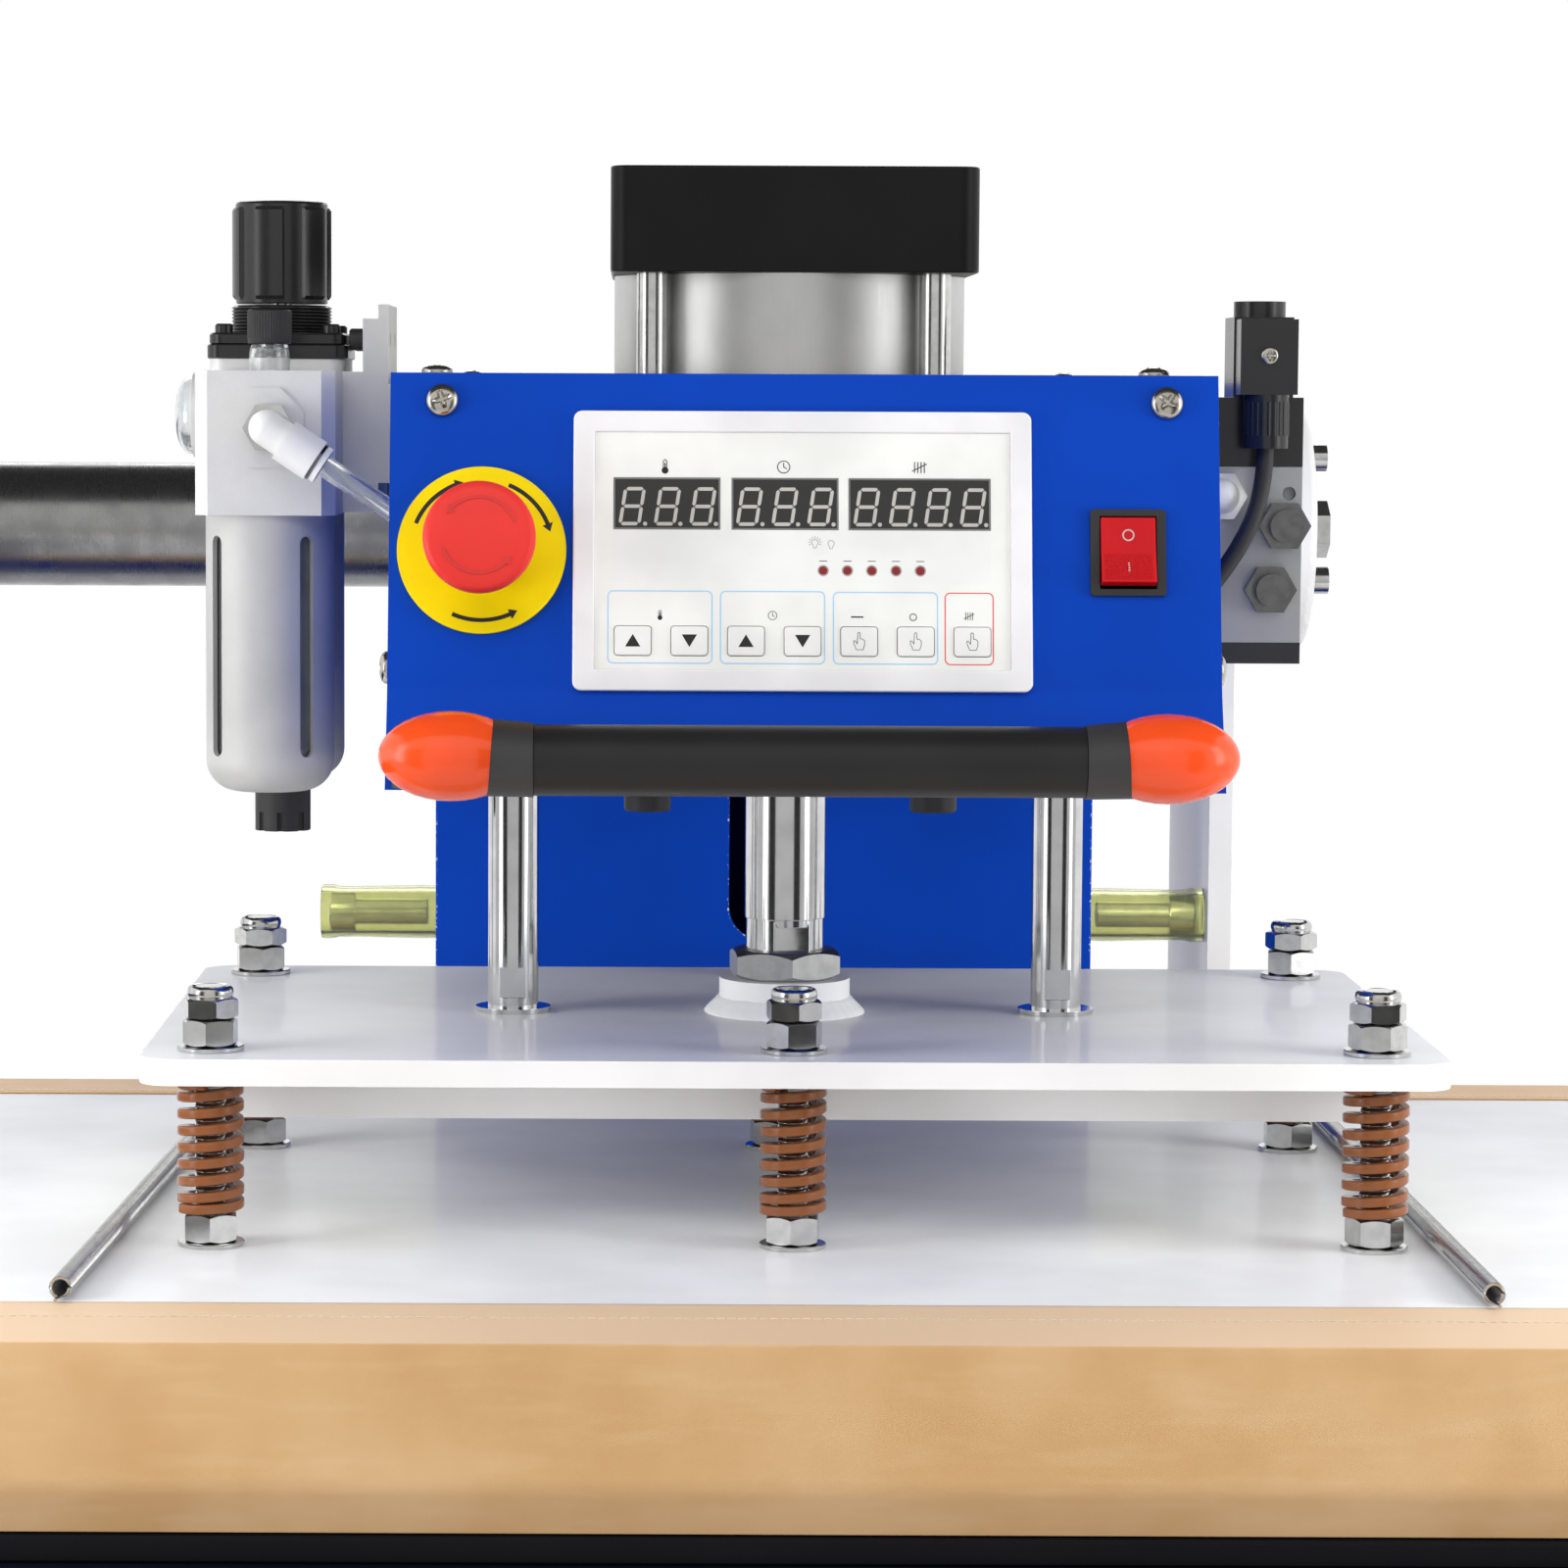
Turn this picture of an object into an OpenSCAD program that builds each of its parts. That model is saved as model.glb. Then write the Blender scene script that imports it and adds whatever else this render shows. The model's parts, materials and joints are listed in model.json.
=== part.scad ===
// Dual station heat press with one pneumatic head that slides between two tables.
// Millimetres. X to the right, Y to the back, Z up. The origin is on the floor, under the middle of
// the base frame. The head stands at the right-hand station, lowered.

/* [Stations] */
// Width of a heated platen and of each table
platen_w = 800; // [760:5:800]
// Gap between the two tables
station_gap = 40; // [25:5:80]
// Depth of a heated platen and of each table
platen_d = 600; // [560:5:610]
// Height of the working face of the silicone pads
work_h = 830; // [780:5:900]
// Thickness of a silicone pad
pad_t = 10; // [6:1:14]
// Thickness of a lower table
table_t = 18; // [12:1:24]

/* [Base frame] */
// Width of a square frame tube
tube = 50; // [40:5:60]
// Wall of a frame tube
tube_wall = 2.5; // [2:0.5:4]
// Height of the legs' ends above the floor
foot_h = 42; // [36:1:60]
// Height of the lower rails above the floor
low_rail_h = 150; // [100:5:250]

/* [Columns and shafts] */
// Thickness of a column plate
column_t = 11; // [8:1:14]
// Depth of a column plate
column_d = 158; // [150:2:170]
// Diameter of the upper shaft
shaft_d = 60; // [50:1:64]
// Height of the upper shaft above the working face
shaft_rise = 321; // [312:1:326]
// Diameter of the lower shaft
low_shaft_d = 36; // [25:1:40]

/* [Head] */
// Width of the head box
head_w = 295; // [290:1:300]
// Height of the head box
head_h = 146; // [142:1:160]
// Height of the head floor above the working face
head_rise = 246; // [244:1:262]
// Distance from the press axis to the top edge of the front panel
head_front = 175; // [170:1:200]
// Lean of the front panel from upright
panel_lean = 12; // [5:1:15]
// Thickness of the sheet metal
sheet = 2; // [1.5:0.1:2.5]
// Width of the carriage body
body_w = 305; // [302:1:310]

/* [Ram] */
// Stroke of the ram
stroke = 60; // [40:1:60]
// Diameter of the piston rod
rod_d = 32; // [25:1:36]
// Diameter of a guide rod
guide_d = 20; // [16:1:22]
// Distance between the guide rods
guide_span = 216; // [210:1:224]
// Bore of the cylinder
bore_d = 125; // [100:1:125]
// Side of the square cylinder caps
cap_w = 140; // [140:1:150]
// Height of the upper cylinder cap
cap_h = 40; // [30:1:45]

/* [Pressure plate] */
// Width of the pressure plate
plate_w = 486; // [476:1:500]
// Depth of the pressure plate
plate_d = 284; // [276:1:300]
// Thickness of the pressure plate
plate_t = 10; // [8:1:14]
// Height of the pressure plate above the working face
plate_rise = 130; // [128:1:134]
// Distance between the outer studs along X
stud_span_x = 436; // [424:1:440]
// Distance between the front and back studs
stud_span_y = 231; // [224:1:240]
// Diameter of a stud
stud_d = 12; // [10:0.5:12]
// Length of a die spring as fitted
spring_len = 51; // [46:1:56]
// Platen travel against the die springs
float_travel = 8; // [4:1:8]

/* [Platen] */
// Thickness of the platen with its housing
platen_t = 66; // [62:1:68]
// Thickness of the heater plate
heater_t = 24; // [18:1:28]
// Depth of the front hem of the cloth cover
front_hem = 70; // [60:1:90]
// Depth of the back hem of the cloth cover
back_hem = 42; // [30:1:60]

/* [Hidden] */
$fn = 48;

// Overrun of a cut, gap between pieces that move past each other, and radial gap of a running fit
over = 1;
gap = 0.3;
fit = 0.05;

// Layout: the base frame is centred on the origin, and the press axis lies in front of its middle
front_margin = 10;
column_gap = 15;
column_y = platen_d / 2 + column_gap;          // front edge of a column, from the press axis
rear_margin = 21;
front_reach = platen_d / 2 + front_margin;
rear_reach = column_y + column_d + rear_margin;
press_y = (front_reach - rear_reach) / 2;
pitch = platen_w + station_gap;                 // distance between the two press stations
head_x = pitch / 2;
side_margin = 10;
base_w = pitch + platen_w + 2 * side_margin;
base_d = front_reach + rear_reach;

// Heights
table_top = work_h - pad_t;
frame_top = table_top - table_t;
floor_z = work_h + head_rise;                  // underside of the head box
top_z = floor_z + head_h;                      // top of the head box
shaft_z = work_h + shaft_rise;
platen_z = work_h + gap;                       // underside of the cloth cover at rest
cover_t = 1;
platen_top = platen_z + platen_t;

// Base frame: bars as [x0, x1, y0, y1, z0, z1]
table_seat = 30;
mid_leg_w = pitch - platen_w + 2 * table_seat;
rear_beam_d = column_d + rear_margin;
leg_xs = [-base_w / 2 + tube / 2, 0, base_w / 2 - tube / 2];
leg_ws = [tube, mid_leg_w, tube];
leg_ys = [-base_d / 2 + tube / 2, base_d / 2 - tube / 2];
legs = [for (i = [0:2], y = leg_ys)
    [leg_xs[i] - leg_ws[i] / 2, leg_xs[i] + leg_ws[i] / 2, y - tube / 2, y + tube / 2, foot_h, frame_top]];
cross_bars = [for (i = [0:2], z = [low_rail_h, frame_top - tube])
    [leg_xs[i] - leg_ws[i] / 2, leg_xs[i] + leg_ws[i] / 2, -base_d / 2, base_d / 2, z, z + tube]];
long_bars = [
    [-base_w / 2, base_w / 2, -base_d / 2, -base_d / 2 + tube, frame_top - tube, frame_top],
    [-base_w / 2, base_w / 2, base_d / 2 - rear_beam_d, base_d / 2, frame_top - tube, frame_top],
    [-base_w / 2, base_w / 2, base_d / 2 - tube, base_d / 2, low_rail_h, low_rail_h + tube]];
frame_bars = concat(legs, cross_bars, long_bars);
foot_pad_d = 60;
foot_pad_h = 14;
foot_stud_d = 16;
foot_nut_af = 24;
foot_nut_h = 10;
foot_screw_in = 30;
table_corner_r = 6;
pad_inset = 5;
pad_corner_r = 8;

// Columns: plate, foot flange and hub, as distances outwards from the inner face
column_reach = 54.8;
column_x = head_x + body_w / 2 + column_reach;  // inner face, where the bumpers stop
hub_d = 112;
hub_len = 34;
column_head_r = 60;
column_foot_w = 60;
column_foot_bolt_inset = 25;
foot_bolt_d = 10;
foot_bolt_af = 17;
foot_bolt_h = 7;
end_cap_r = 58.3;
end_cap_t = 12;
end_cap_edge = 4;
shaft_from_front = 114;
shaft_y = column_y + shaft_from_front;
low_shaft_z = frame_top + 46;
end_bolt_d = 16;
end_bolt_af = 24;
end_bolt_h = 10;
end_bolt_deep = 40;
end_washer_d = 30;
end_washer_t = 2.5;
end_screw_d = 8;
end_screw_head_d = 13;
end_screw_head_h = 8;
end_screw_deep = 16;
end_screw_r = 42.2;
end_screw_turn = -34;
low_bolt_d = 12;
low_bolt_af = 18;
low_bolt_h = 8;

// Carriage
body_wall = 4.5;
body_y = platen_d / 2 + 10;
body_behind = 50;
body_back = shaft_y + body_behind;
body_bottom = frame_top + 6;
body_top = top_z - sheet;
slot_w = 32;
slot_above_plate = 2;
slot_low = work_h + plate_rise + slot_above_plate;
slot_high = floor_z - 2;
bush_wall = 7.5;
bush_len = 60;
bush_flange = 10;
bush_flange_t = 7;
bumper_above_plate = 12;
bumper_z = work_h + plate_rise + bumper_above_plate;
bumper_y = body_y + 25;
bumper_reach = column_x - head_x - gap;        // from the press axis to a bumper's tip
bumper_d = 25.5;
bumper_bolt_d = 12;
bumper_head_d = 18;
bumper_head_h = 12;
bumper_head_in = 4;
gland_d = 20;
gland_bore_d = 9;
gland_len = 18;
gland_thread_d = 14;
gland_nut_af = 24;
gland_nut_h = 6;
gland_inset = 40;
gland_rise = 60;

// Head box outline, front to back
lip_h = 34;                                    // height of the lower strip of the front panel
lip_lean = 25;
panel_len = (head_h - lip_h) / cos(panel_lean);
bend_y = -head_front - panel_len * sin(panel_lean);
lip_y = bend_y - lip_h * tan(lip_lean);
box_line = [[-head_front, top_z], [bend_y, floor_z + lip_h], [lip_y, floor_z],
    [body_y, floor_z], [body_y, top_z]];
base_plate_drop = 9;
base_plate_t = 16;
base_plate_z = floor_z - base_plate_drop;
base_plate_front = 80;
mount_r = 55;
mount_bolt_d = 12;
mount_head_d = 18;
mount_head_h = 12;
socket_share = 0.55;
floor_flange = 14;
floor_cut_half = head_w / 2 - floor_flange;
rod_hole_gap = 5;

// Front panel fittings: distance along X and down the panel from its top edge
row_down = 64.3;
estop_x = -114.5;
control_x = -0.8;
rocker_x = 114.6;
screw_x = 129;
screw_down = 10.2;
screw_head_d = 11.8;
screw_head_h = 3.6;
screw_d = 6;
screw_len = 12;
side_screw_y = -181;
side_screw_rise = 41;
bracket_bolt_d = 8.5;
cover_screw_x = 135;
cover_screw_front = -80;
cover_screw_inset = 18;

// Control unit
bezel_w = 162.6;
bezel_h = 100.5;
bezel_t = 3;
bezel_r = 3.2;
bezel_rim = 7.6;
tray_deep = 12;
tray_wall = 1.5;
overlay_t = 2;
overlay_gap = 0.2;
display_h = 18.8;
display_up = 16.9;
display_places = [[-48.1, 38], [-6.2, 38], [41.5, 50.5]];   // centre and width of each window
display_floor = 0.8;
display_proud = -0.2;
lamp_d = 3.8;
lamp_down = 7;
lamp_first = 7.3;
lamp_pitch = 8.6;
key_w = 12.8;
key_h = 10.4;
key_r = 1.2;
key_t = 1.6;
key_pitch = 20;
key_down = 32.4;
key_travel = 0.5;
key_under = key_travel + gap;
key_floor = 0.3;

// Emergency stop
estop_plate_d = 60;
estop_plate_t = 1.5;
estop_collar_d = 29;
estop_collar_h = 9;
estop_barrel_d = 22;
estop_barrel_deep = 40;
stem_d = 12;
stem_in = 30;
estop_stem_room = 3;
mushroom_z = 15;
mushroom_h = 17;
mushroom_d = 39.6;
mushroom_neck_d = 30;
mushroom_edge_z = 9;
mushroom_rim = 3;
stem_top = mushroom_z + 9;

// Rocker switch
switch_w = 26.8;
switch_h = 31;
switch_t = 2;
switch_r = 1.2;
switch_open_w = 20.2;
switch_open_h = 26.2;
switch_body_deep = 22;
switch_wall = 1.2;
rocker_lean = 9;
rocker_w = 19.4;
rocker_half = 12.1;
rocker_high = 4.6;
rocker_dip = 1.2;
rocker_root = 7;
rocker_pivot = 0.5;

// Handle
bar_d = 24.5;
bar_y = -250;
bar_z = floor_z + 13.5;
bar_half = 94.5;
bracket_d = 25.6;
bracket_mid = 126;
bracket_end = 145;
bracket_boss_r = 14;
bracket_boss_y = -241;
bracket_foot_h = 19;
bracket_foot_t = 6;
cap_egg_r = 15.6;
cap_egg_half = 25;
cap_mid = 123;
cap_wall = 1.4;
cap_cut_y = -246.5;
cap_rise = 1;

// Cylinder
cap_corner = 8;
low_cap_h = 30;
barrel_wall = 6.2;
low_cap_z = base_plate_z + base_plate_t;
barrel_z = low_cap_z + low_cap_h;
piston_t = 30;
piston_start = 2;
barrel_spare = 56;
barrel_len = piston_start + piston_t + stroke + barrel_spare;
cap_z = barrel_z + barrel_len;
tie_r = 54;
tie_d = 12;
cap_recess_d = 19;
cap_recess_h = 10;
cap_socket_af = 10;

// Ram
plate_z = work_h + plate_rise;                 // underside of the pressure plate
plate_top = plate_z + plate_t;
plate_corner = 13;
slab_w = 450;
slab_d = 174;
slab_t = 20;
boss_d = 52;
boss_h = 14;
weld_d = 62;
weld_h = 5;
jam_af = 41;
jam_h = 11.5;
jam_turn = 6;
rod_neck_d = 30.8;
rod_neck_h = 38;
rod_flat_top = 35;
rod_flat_h = 20;
rod_flat_cut = 1.5;
rod_flat_turn = 10;
rod_seat = 4;
foot_washer_d = 30;
foot_washer_t = 2;
guide_flat_z = 4;
guide_flat_h = 12;
guide_flat_cut = 1.4;
guide_len = 165;
guide_bush_wall = 6;
guide_bush_len = 50;
guide_bush_flange = 5;
guide_bush_flange_t = 5;

// Studs and die springs
nut_af = 19;
nut_h = 10;
lock_h = 12;
lock_hex_h = 8;
lock_collar_d = 16.5;
lock_gap = 0.3;
washer_d = 25;
washer_t = 1.8;
seat_gap = 0.1;
stud_proud = 0.5;
stud_hole_gap = 0.6;
low_nut_h = plate_z - platen_top - washer_t - spring_len - 2 * seat_gap;
spring_d = 25;
wire_w = 5;
wire_h = 3.7;
spring_turns = 8;
rings_per_turn = 8;

// Platen
housing_t = 2;
housing_drop = 17;
heater_inset = 8;
hem_t = 1;
cover_side = 6;
tension_x = [-261, 243];                      // at the front hem
tension_turn = [-2.6, 0.3];
tension_d = 8.5;
tension_hook = 5;
tension_gap = 0.3;
hook_wire_d = 1.6;

stud_places = [for (x = [-stud_span_x / 2, 0, stud_span_x / 2], y = [-stud_span_y / 2, stud_span_y / 2])
    [x, y]];

// Air preparation unit: centre of each unit, from the press axis
air_x = -200;
air_front_y = -57;
air_rear_y = 5;
air_w = 53;
air_above_floor = 92.5;
air_body_z = floor_z + air_above_floor;
air_body_h = 54.5;
air_chamfer = 5;
bowl_d = 49;
bowl_len = 106;
bowl_wall = 2;
bowl_round = 12;
bowl_slot_w = 6;
bowl_slot_low = 14;
bowl_slot_high = 98;
bowl_gap = 0.8;
bowl_inner_wall = 2.5;
slot_turns = [39, 129, 219, 309];
slot_round = 0.48;
port_af = 30;
port_t = 1.2;
bonnet_h = 5;
bonnet_plate_h = 10;
bonnet_plate_w = 55;
bonnet_corner = 6;
ring_d = 39.5;
ring_h = 11;
knob_d = 39;
knob_h = 40;
knob_lift = 3;
knob_bottom_gap = 0.6;
knob_flutes = 6;
knob_flute_d = 20;
knob_flute_deep = 1.5;
knob_rim = 2;
knob_turn = -11;
knob_bore_deep = 20;
spindle_d = 10;
spindle_root = 12;
dome_d = 15.6;
dome_h = 10;
drip_d = 17;
drip_h = 13;
drip_bore_d = 4;
drip_ribs = 24;
drip_rib_d = 1.2;
gauge_d = 34;
gauge_t = 8.5;
gauge_rim = 2.5;
gauge_dome = 7;
drain_d = 22;
drain_neck_d = 14;
drain_h = 17;
drain_neck_h = 8;
drain_grips = 8;
drain_grip_d = 3;
inlet_d = 11.8;
inlet_deep = 12;
bracket_t = 6;
bracket_x = -160;
bracket_high = 75;
tab_t = 4;
tab_low = 42;
tab_high = 27;
bracket_bolt_rise = 13.6;
bracket_bolt_y = [-16, 17];
latch_w = 12;
latch_h = 23;

// Fittings
elbow_hex_af = 17;
elbow_hex_h = 5;
elbow_d = 13.5;
elbow_out = 13.3;
elbow_turn = -33.7;
elbow_len = 8;
elbow_collar_d = 16.5;
elbow_collar_len = 14;
release_d = 14.5;
release_len = 3.5;
hose_in = 4;
elbow_z = air_body_z + 33;
elbow_x = air_x + 2;
hose_d = 8;
hose_sides = 12;
cable_d = 6.5;
plug_hex_af = 17;
plug_hex_h = 6;
plug_cap_d = 12.5;
plug_cap_h = 6;

// Solenoid valve, from the press axis and the head floor
valve_w = 43;
valve_depth = 27;
valve_y = -88;                                  // front face
valve_z = floor_z + 46.5;
valve_h = 66;
valve_end_h = 8;
pilot_h = 26;
coil_h = 30;
coil_w = 22.5;
coil_in = 16.5;
coil_nut_d = 19.5;
coil_nut_h = 6;
connector_w = 21.4;
connector_depth = 16;
connector_h = 28;
cable_nut_d = 17;
cable_nut_h = 20;
valve_plugs = [[36, 44], [31, 20]];             // from the box side and the valve's underside
valve_elbow = [12, 55];
override_d = 5;

// Routes of the air hose and valve cable that run into the head box, from the press axis and the head floor
hose_path = [[-177.5, -98, 112.2], [-175, -98, 110.5], [-172.5, -98, 108.9], [-170, -98, 107.2],
    [-167.5, -98, 105.5], [-165, -98, 103.9], [-162.5, -98, 102.2], [-160, -98, 100.5],
    [-157.5, -98, 98.9], [-155, -98, 97.2], [-152.5, -98, 95.5], [-150, -98, 93.9],
    [-147.5, -98, 92.2], [-145, -98, 90.5], [-142.5, -98, 88.9], [-140, -98, 87.2], [-137.5, -98, 85.5],
    [-135, -98, 83.9], [-132.5, -98, 82.2]];
cable_path = [[175.25, -96, 124], [175.25, -96, 119], [175, -96.8, 114], [174.3, -98.6, 109],
    [173.2, -101.2, 104], [171.7, -103.6, 98.5], [169.7, -105, 93], [167.1, -105.6, 87.5],
    [164.1, -105.6, 82], [160.8, -105.2, 76.8], [157.4, -104.6, 71.8], [154.1, -103.8, 67.4],
    [151, -103.1, 63.8], [147.5, -102.6, 60.6], [142, -102.2, 57]];

// Frames: at the press axis, on the front panel, and profiles drawn in Y and Z
module at_press() translate([head_x, press_y, 0]) children();
module on_panel(x, down)
    translate([x, -head_front - down * sin(panel_lean), top_z - down * cos(panel_lean)])
    rotate([90 - panel_lean, 0, 0]) children();
module along_x(len) rotate([90, 0, 90]) linear_extrude(len, center = true) children();
module rounded(w, d, r) {
    square([w - 2 * r, d], center = true);
    square([w, d - 2 * r], center = true);
    for (x = [-1, 1], y = [-1, 1]) translate([x * (w / 2 - r), y * (d / 2 - r)]) circle(r);
}
module chamfered(w, c) polygon([[-w / 2 + c, -w / 2], [w / 2 - c, -w / 2], [w / 2, -w / 2 + c],
    [w / 2, w / 2 - c], [w / 2 - c, w / 2], [-w / 2 + c, w / 2], [-w / 2, w / 2 - c], [-w / 2,
        -w / 2 + c]]);
module block(b, grow = 0) translate([b[0] - grow, b[2] - grow, b[4] - grow])
    cube([b[1] - b[0] + 2 * grow, b[3] - b[2] + 2 * grow, b[5] - b[4] + 2 * grow]);
module hex(af, h) cylinder(h = h, d = af / cos(30), $fn = 6);
module nut(af, h, bore) difference() {
    hex(af, h);
    translate([0, 0, -over]) cylinder(h = h + 2 * over, d = bore);
}
module washer(d, t, bore) difference() {
    cylinder(h = t, d = d);
    translate([0, 0, -over]) cylinder(h = t + 2 * over, d = bore);
}
module hex_bolt(af, h, d, len) {
    hex(af, h);
    translate([0, 0, -len]) cylinder(h = len + over, d = d);
}
module socket_bolt(head_d, head_h, d, len) difference() {
    union() {
        cylinder(h = head_h, d = head_d);
        translate([0, 0, -len]) cylinder(h = len + over, d = d);
    }
    translate([0, 0, head_h / 2]) hex(head_d * socket_share, head_h);
}

// A tube swept along points, and a coil of flat wire
function unit(v) = v / norm(v);
function heading(p, i) = unit(p[min(i + 1, len(p) - 1)] - p[max(i - 1, 0)]);
function tube_ring(p, i, r, n) = let (t = heading(p, i), u = unit(cross(t, [0, 1, 0])), v = cross(t, u))
    [for (k = [0:n - 1]) p[i] + r * (cos(k * 360 / n) * u + sin(k * 360 / n) * v)];
function ring_faces(rings, n) = concat(
    [for (k = [1:n - 2]) [0, k, k + 1]],
    [for (i = [0:rings - 2], k = [0:n - 1]) let (j = (k + 1) % n)
        each [[i * n + k, (i + 1) * n + k, (i + 1) * n + j], [i * n + k, (i + 1) * n + j, i * n + j]]],
    [for (k = [1:n - 2]) [(rings - 1) * n, (rings - 1) * n + k + 1, (rings - 1) * n + k]]);
module tube_along(p, r, n) polyhedron(
    points = [for (i = [0:len(p) - 1]) each tube_ring(p, i, r, n)], faces = ring_faces(len(p), n));
wire_shares = [[0.5, 0.35], [0.5, -0.35], [0, -0.5], [-0.5, -0.35], [-0.5, 0.35], [0, 0.5]];
coil_rings = spring_turns * rings_per_turn;
coil_rise = spring_len - wire_h;
function coil_ring(i) = let (a = i * 360 / rings_per_turn, z = wire_h / 2 + i * coil_rise / coil_rings)
    [for (s = wire_shares) let (r = (spring_d - wire_w) / 2 + s[0] * wire_w)
        [r * cos(a), r * sin(a), z + s[1] * wire_h]];
coil_gap = min([for (i = [0:coil_rings - rings_per_turn])
    for (p = coil_ring(i), q = coil_ring(i + rings_per_turn)) norm(p - q)]);
echo(least_gap_of_die_spring_to_itself = coil_gap);
assert(spring_len - float_travel > spring_turns * wire_h, "the die springs would go solid");

// Base frame
module base_frame() color("RoyalBlue") difference() {
    for (b = frame_bars) block(b);
    for (b = frame_bars) block(b, -tube_wall);
    for (x = leg_xs, y = leg_ys) translate([x, y, foot_h - over])
        cylinder(h = tube_wall + 2 * over, d = foot_stud_d + 2 * gap);
}
module levelling_feet() for (x = leg_xs, y = leg_ys) translate([x, y, 0]) {
    color("Black") cylinder(h = foot_pad_h, d = foot_pad_d);
    color("Silver") translate([0, 0, foot_pad_h])
        cylinder(h = foot_h + foot_screw_in - foot_pad_h, d = foot_stud_d);
    color("Silver") translate([0, 0, foot_h - foot_nut_h])
        nut(foot_nut_af, foot_nut_h, foot_stud_d + 2 * fit);
}
module slabs(w, d, z, t, r) for (x = [-head_x, head_x])
    translate([x, press_y, z]) linear_extrude(t) rounded(w, d, r);
module lower_tables() color("MediumBlue") slabs(platen_w, platen_d, frame_top, table_t, table_corner_r);
module silicone_pads() color("Black")
    slabs(platen_w - 2 * pad_inset, platen_d - 2 * pad_inset, table_top, pad_t, pad_corner_r);

// Columns, drawn on the right; the left one is the same turned by mirror
module column() color("White") translate([column_x, press_y, 0]) difference() {
    union() {
        translate([column_t / 2, 0, 0]) along_x(column_t) {
            translate([column_y, frame_top]) square([column_d, shaft_z - frame_top]);
            translate([shaft_y, shaft_z]) circle(column_head_r);
        }
        translate([column_t, shaft_y, shaft_z]) rotate([0, 90, 0]) cylinder(h = hub_len, d = hub_d);
        translate([0, column_y, frame_top]) cube([column_foot_w, column_d, column_t]);
    }
    translate([-over, shaft_y, shaft_z]) rotate([0, 90, 0])
        cylinder(h = column_t + hub_len + 2 * over, d = shaft_d + 2 * fit);
    translate([-over, shaft_y, low_shaft_z]) rotate([0, 90, 0])
        cylinder(h = column_t + 2 * over, d = low_shaft_d + 2 * fit);
    for (a = [0:90:270]) translate([column_t + hub_len + over, shaft_y, shaft_z]) rotate([0, -90, 0])
        rotate(end_screw_turn + a) translate([end_screw_r, 0, 0])
            cylinder(h = end_screw_deep + over, d = end_screw_d + 2 * fit);
    for (y = [column_y + column_foot_bolt_inset, column_y + column_d - column_foot_bolt_inset])
        translate([column_foot_w - column_foot_bolt_inset, y, frame_top - over])
            cylinder(h = column_t + 2 * over, d = foot_bolt_d + 2 * gap);
}
module right_column() column();
module left_column() mirror([1, 0, 0]) column();
module guide_shafts() {
    color("Silver") shaft(shaft_z, shaft_d, column_x + column_t + hub_len, end_bolt_d, end_bolt_deep);
    color("Silver") shaft(low_shaft_z, low_shaft_d, column_x + column_t, low_bolt_d, end_bolt_deep);
}
module shaft(z, d, half, hole_d, deep) translate([0, press_y + shaft_y, z])
    rotate([0, 90, 0]) difference() {
    cylinder(h = 2 * half, d = d, center = true);
    for (s = [0, 180]) rotate([s, 0, 0]) translate([0, 0, half - deep])
        cylinder(h = deep + over, d = hole_d + 2 * fit);
}
module end_cap() color("White") translate([column_x + column_t + hub_len, press_y + shaft_y, shaft_z])
    rotate([0, 90, 0]) difference() {
        rotate_extrude($fn = 96) {
            square([end_cap_r - end_cap_edge, end_cap_t]);
            square([end_cap_r, end_cap_t - end_cap_edge]);
            translate([end_cap_r - end_cap_edge, end_cap_t - end_cap_edge]) circle(end_cap_edge);
        }
        translate([0, 0, -over]) cylinder(h = end_cap_t + 2 * over, d = end_bolt_d + 2 * fit);
        for (a = [0:90:270]) rotate([0, 0, 180 - end_screw_turn - a]) translate([end_screw_r, 0, -over])
            cylinder(h = end_cap_t + 2 * over, d = end_screw_d + 2 * fit);
    }
module shaft_end_caps() {
    end_cap();
    mirror([1, 0, 0]) end_cap();
}
module end_fasteners() color("Silver") translate([column_x + column_t, press_y, 0]) {
    translate([hub_len + end_cap_t, shaft_y, shaft_z]) rotate([0, 90, 0]) {
        washer(end_washer_d, end_washer_t, end_bolt_d + 2 * fit);
        translate([0, 0, end_washer_t]) hex_bolt(end_bolt_af, end_bolt_h, end_bolt_d, end_bolt_deep);
        for (a = [0:90:270]) rotate([0, 0, 180 - end_screw_turn - a]) translate([end_screw_r, 0, 0])
            socket_bolt(end_screw_head_d, end_screw_head_h, end_screw_d, end_cap_t + end_screw_deep - over);
    }
    translate([0, shaft_y, low_shaft_z]) rotate([0, 90, 0]) {
        washer(low_shaft_d + 2 * end_washer_t, end_washer_t, low_bolt_d + 2 * fit);
        translate([0, 0, end_washer_t]) hex_bolt(low_bolt_af, low_bolt_h, low_bolt_d, end_screw_deep);
    }
    for (y = [column_y + column_foot_bolt_inset, column_y + column_d - column_foot_bolt_inset])
        translate([column_foot_w - column_foot_bolt_inset - column_t, y, frame_top + column_t])
            hex_bolt(foot_bolt_af, foot_bolt_h, foot_bolt_d, column_t);
}
module column_fasteners() {
    end_fasteners();
    mirror([1, 0, 0]) end_fasteners();
}

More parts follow.
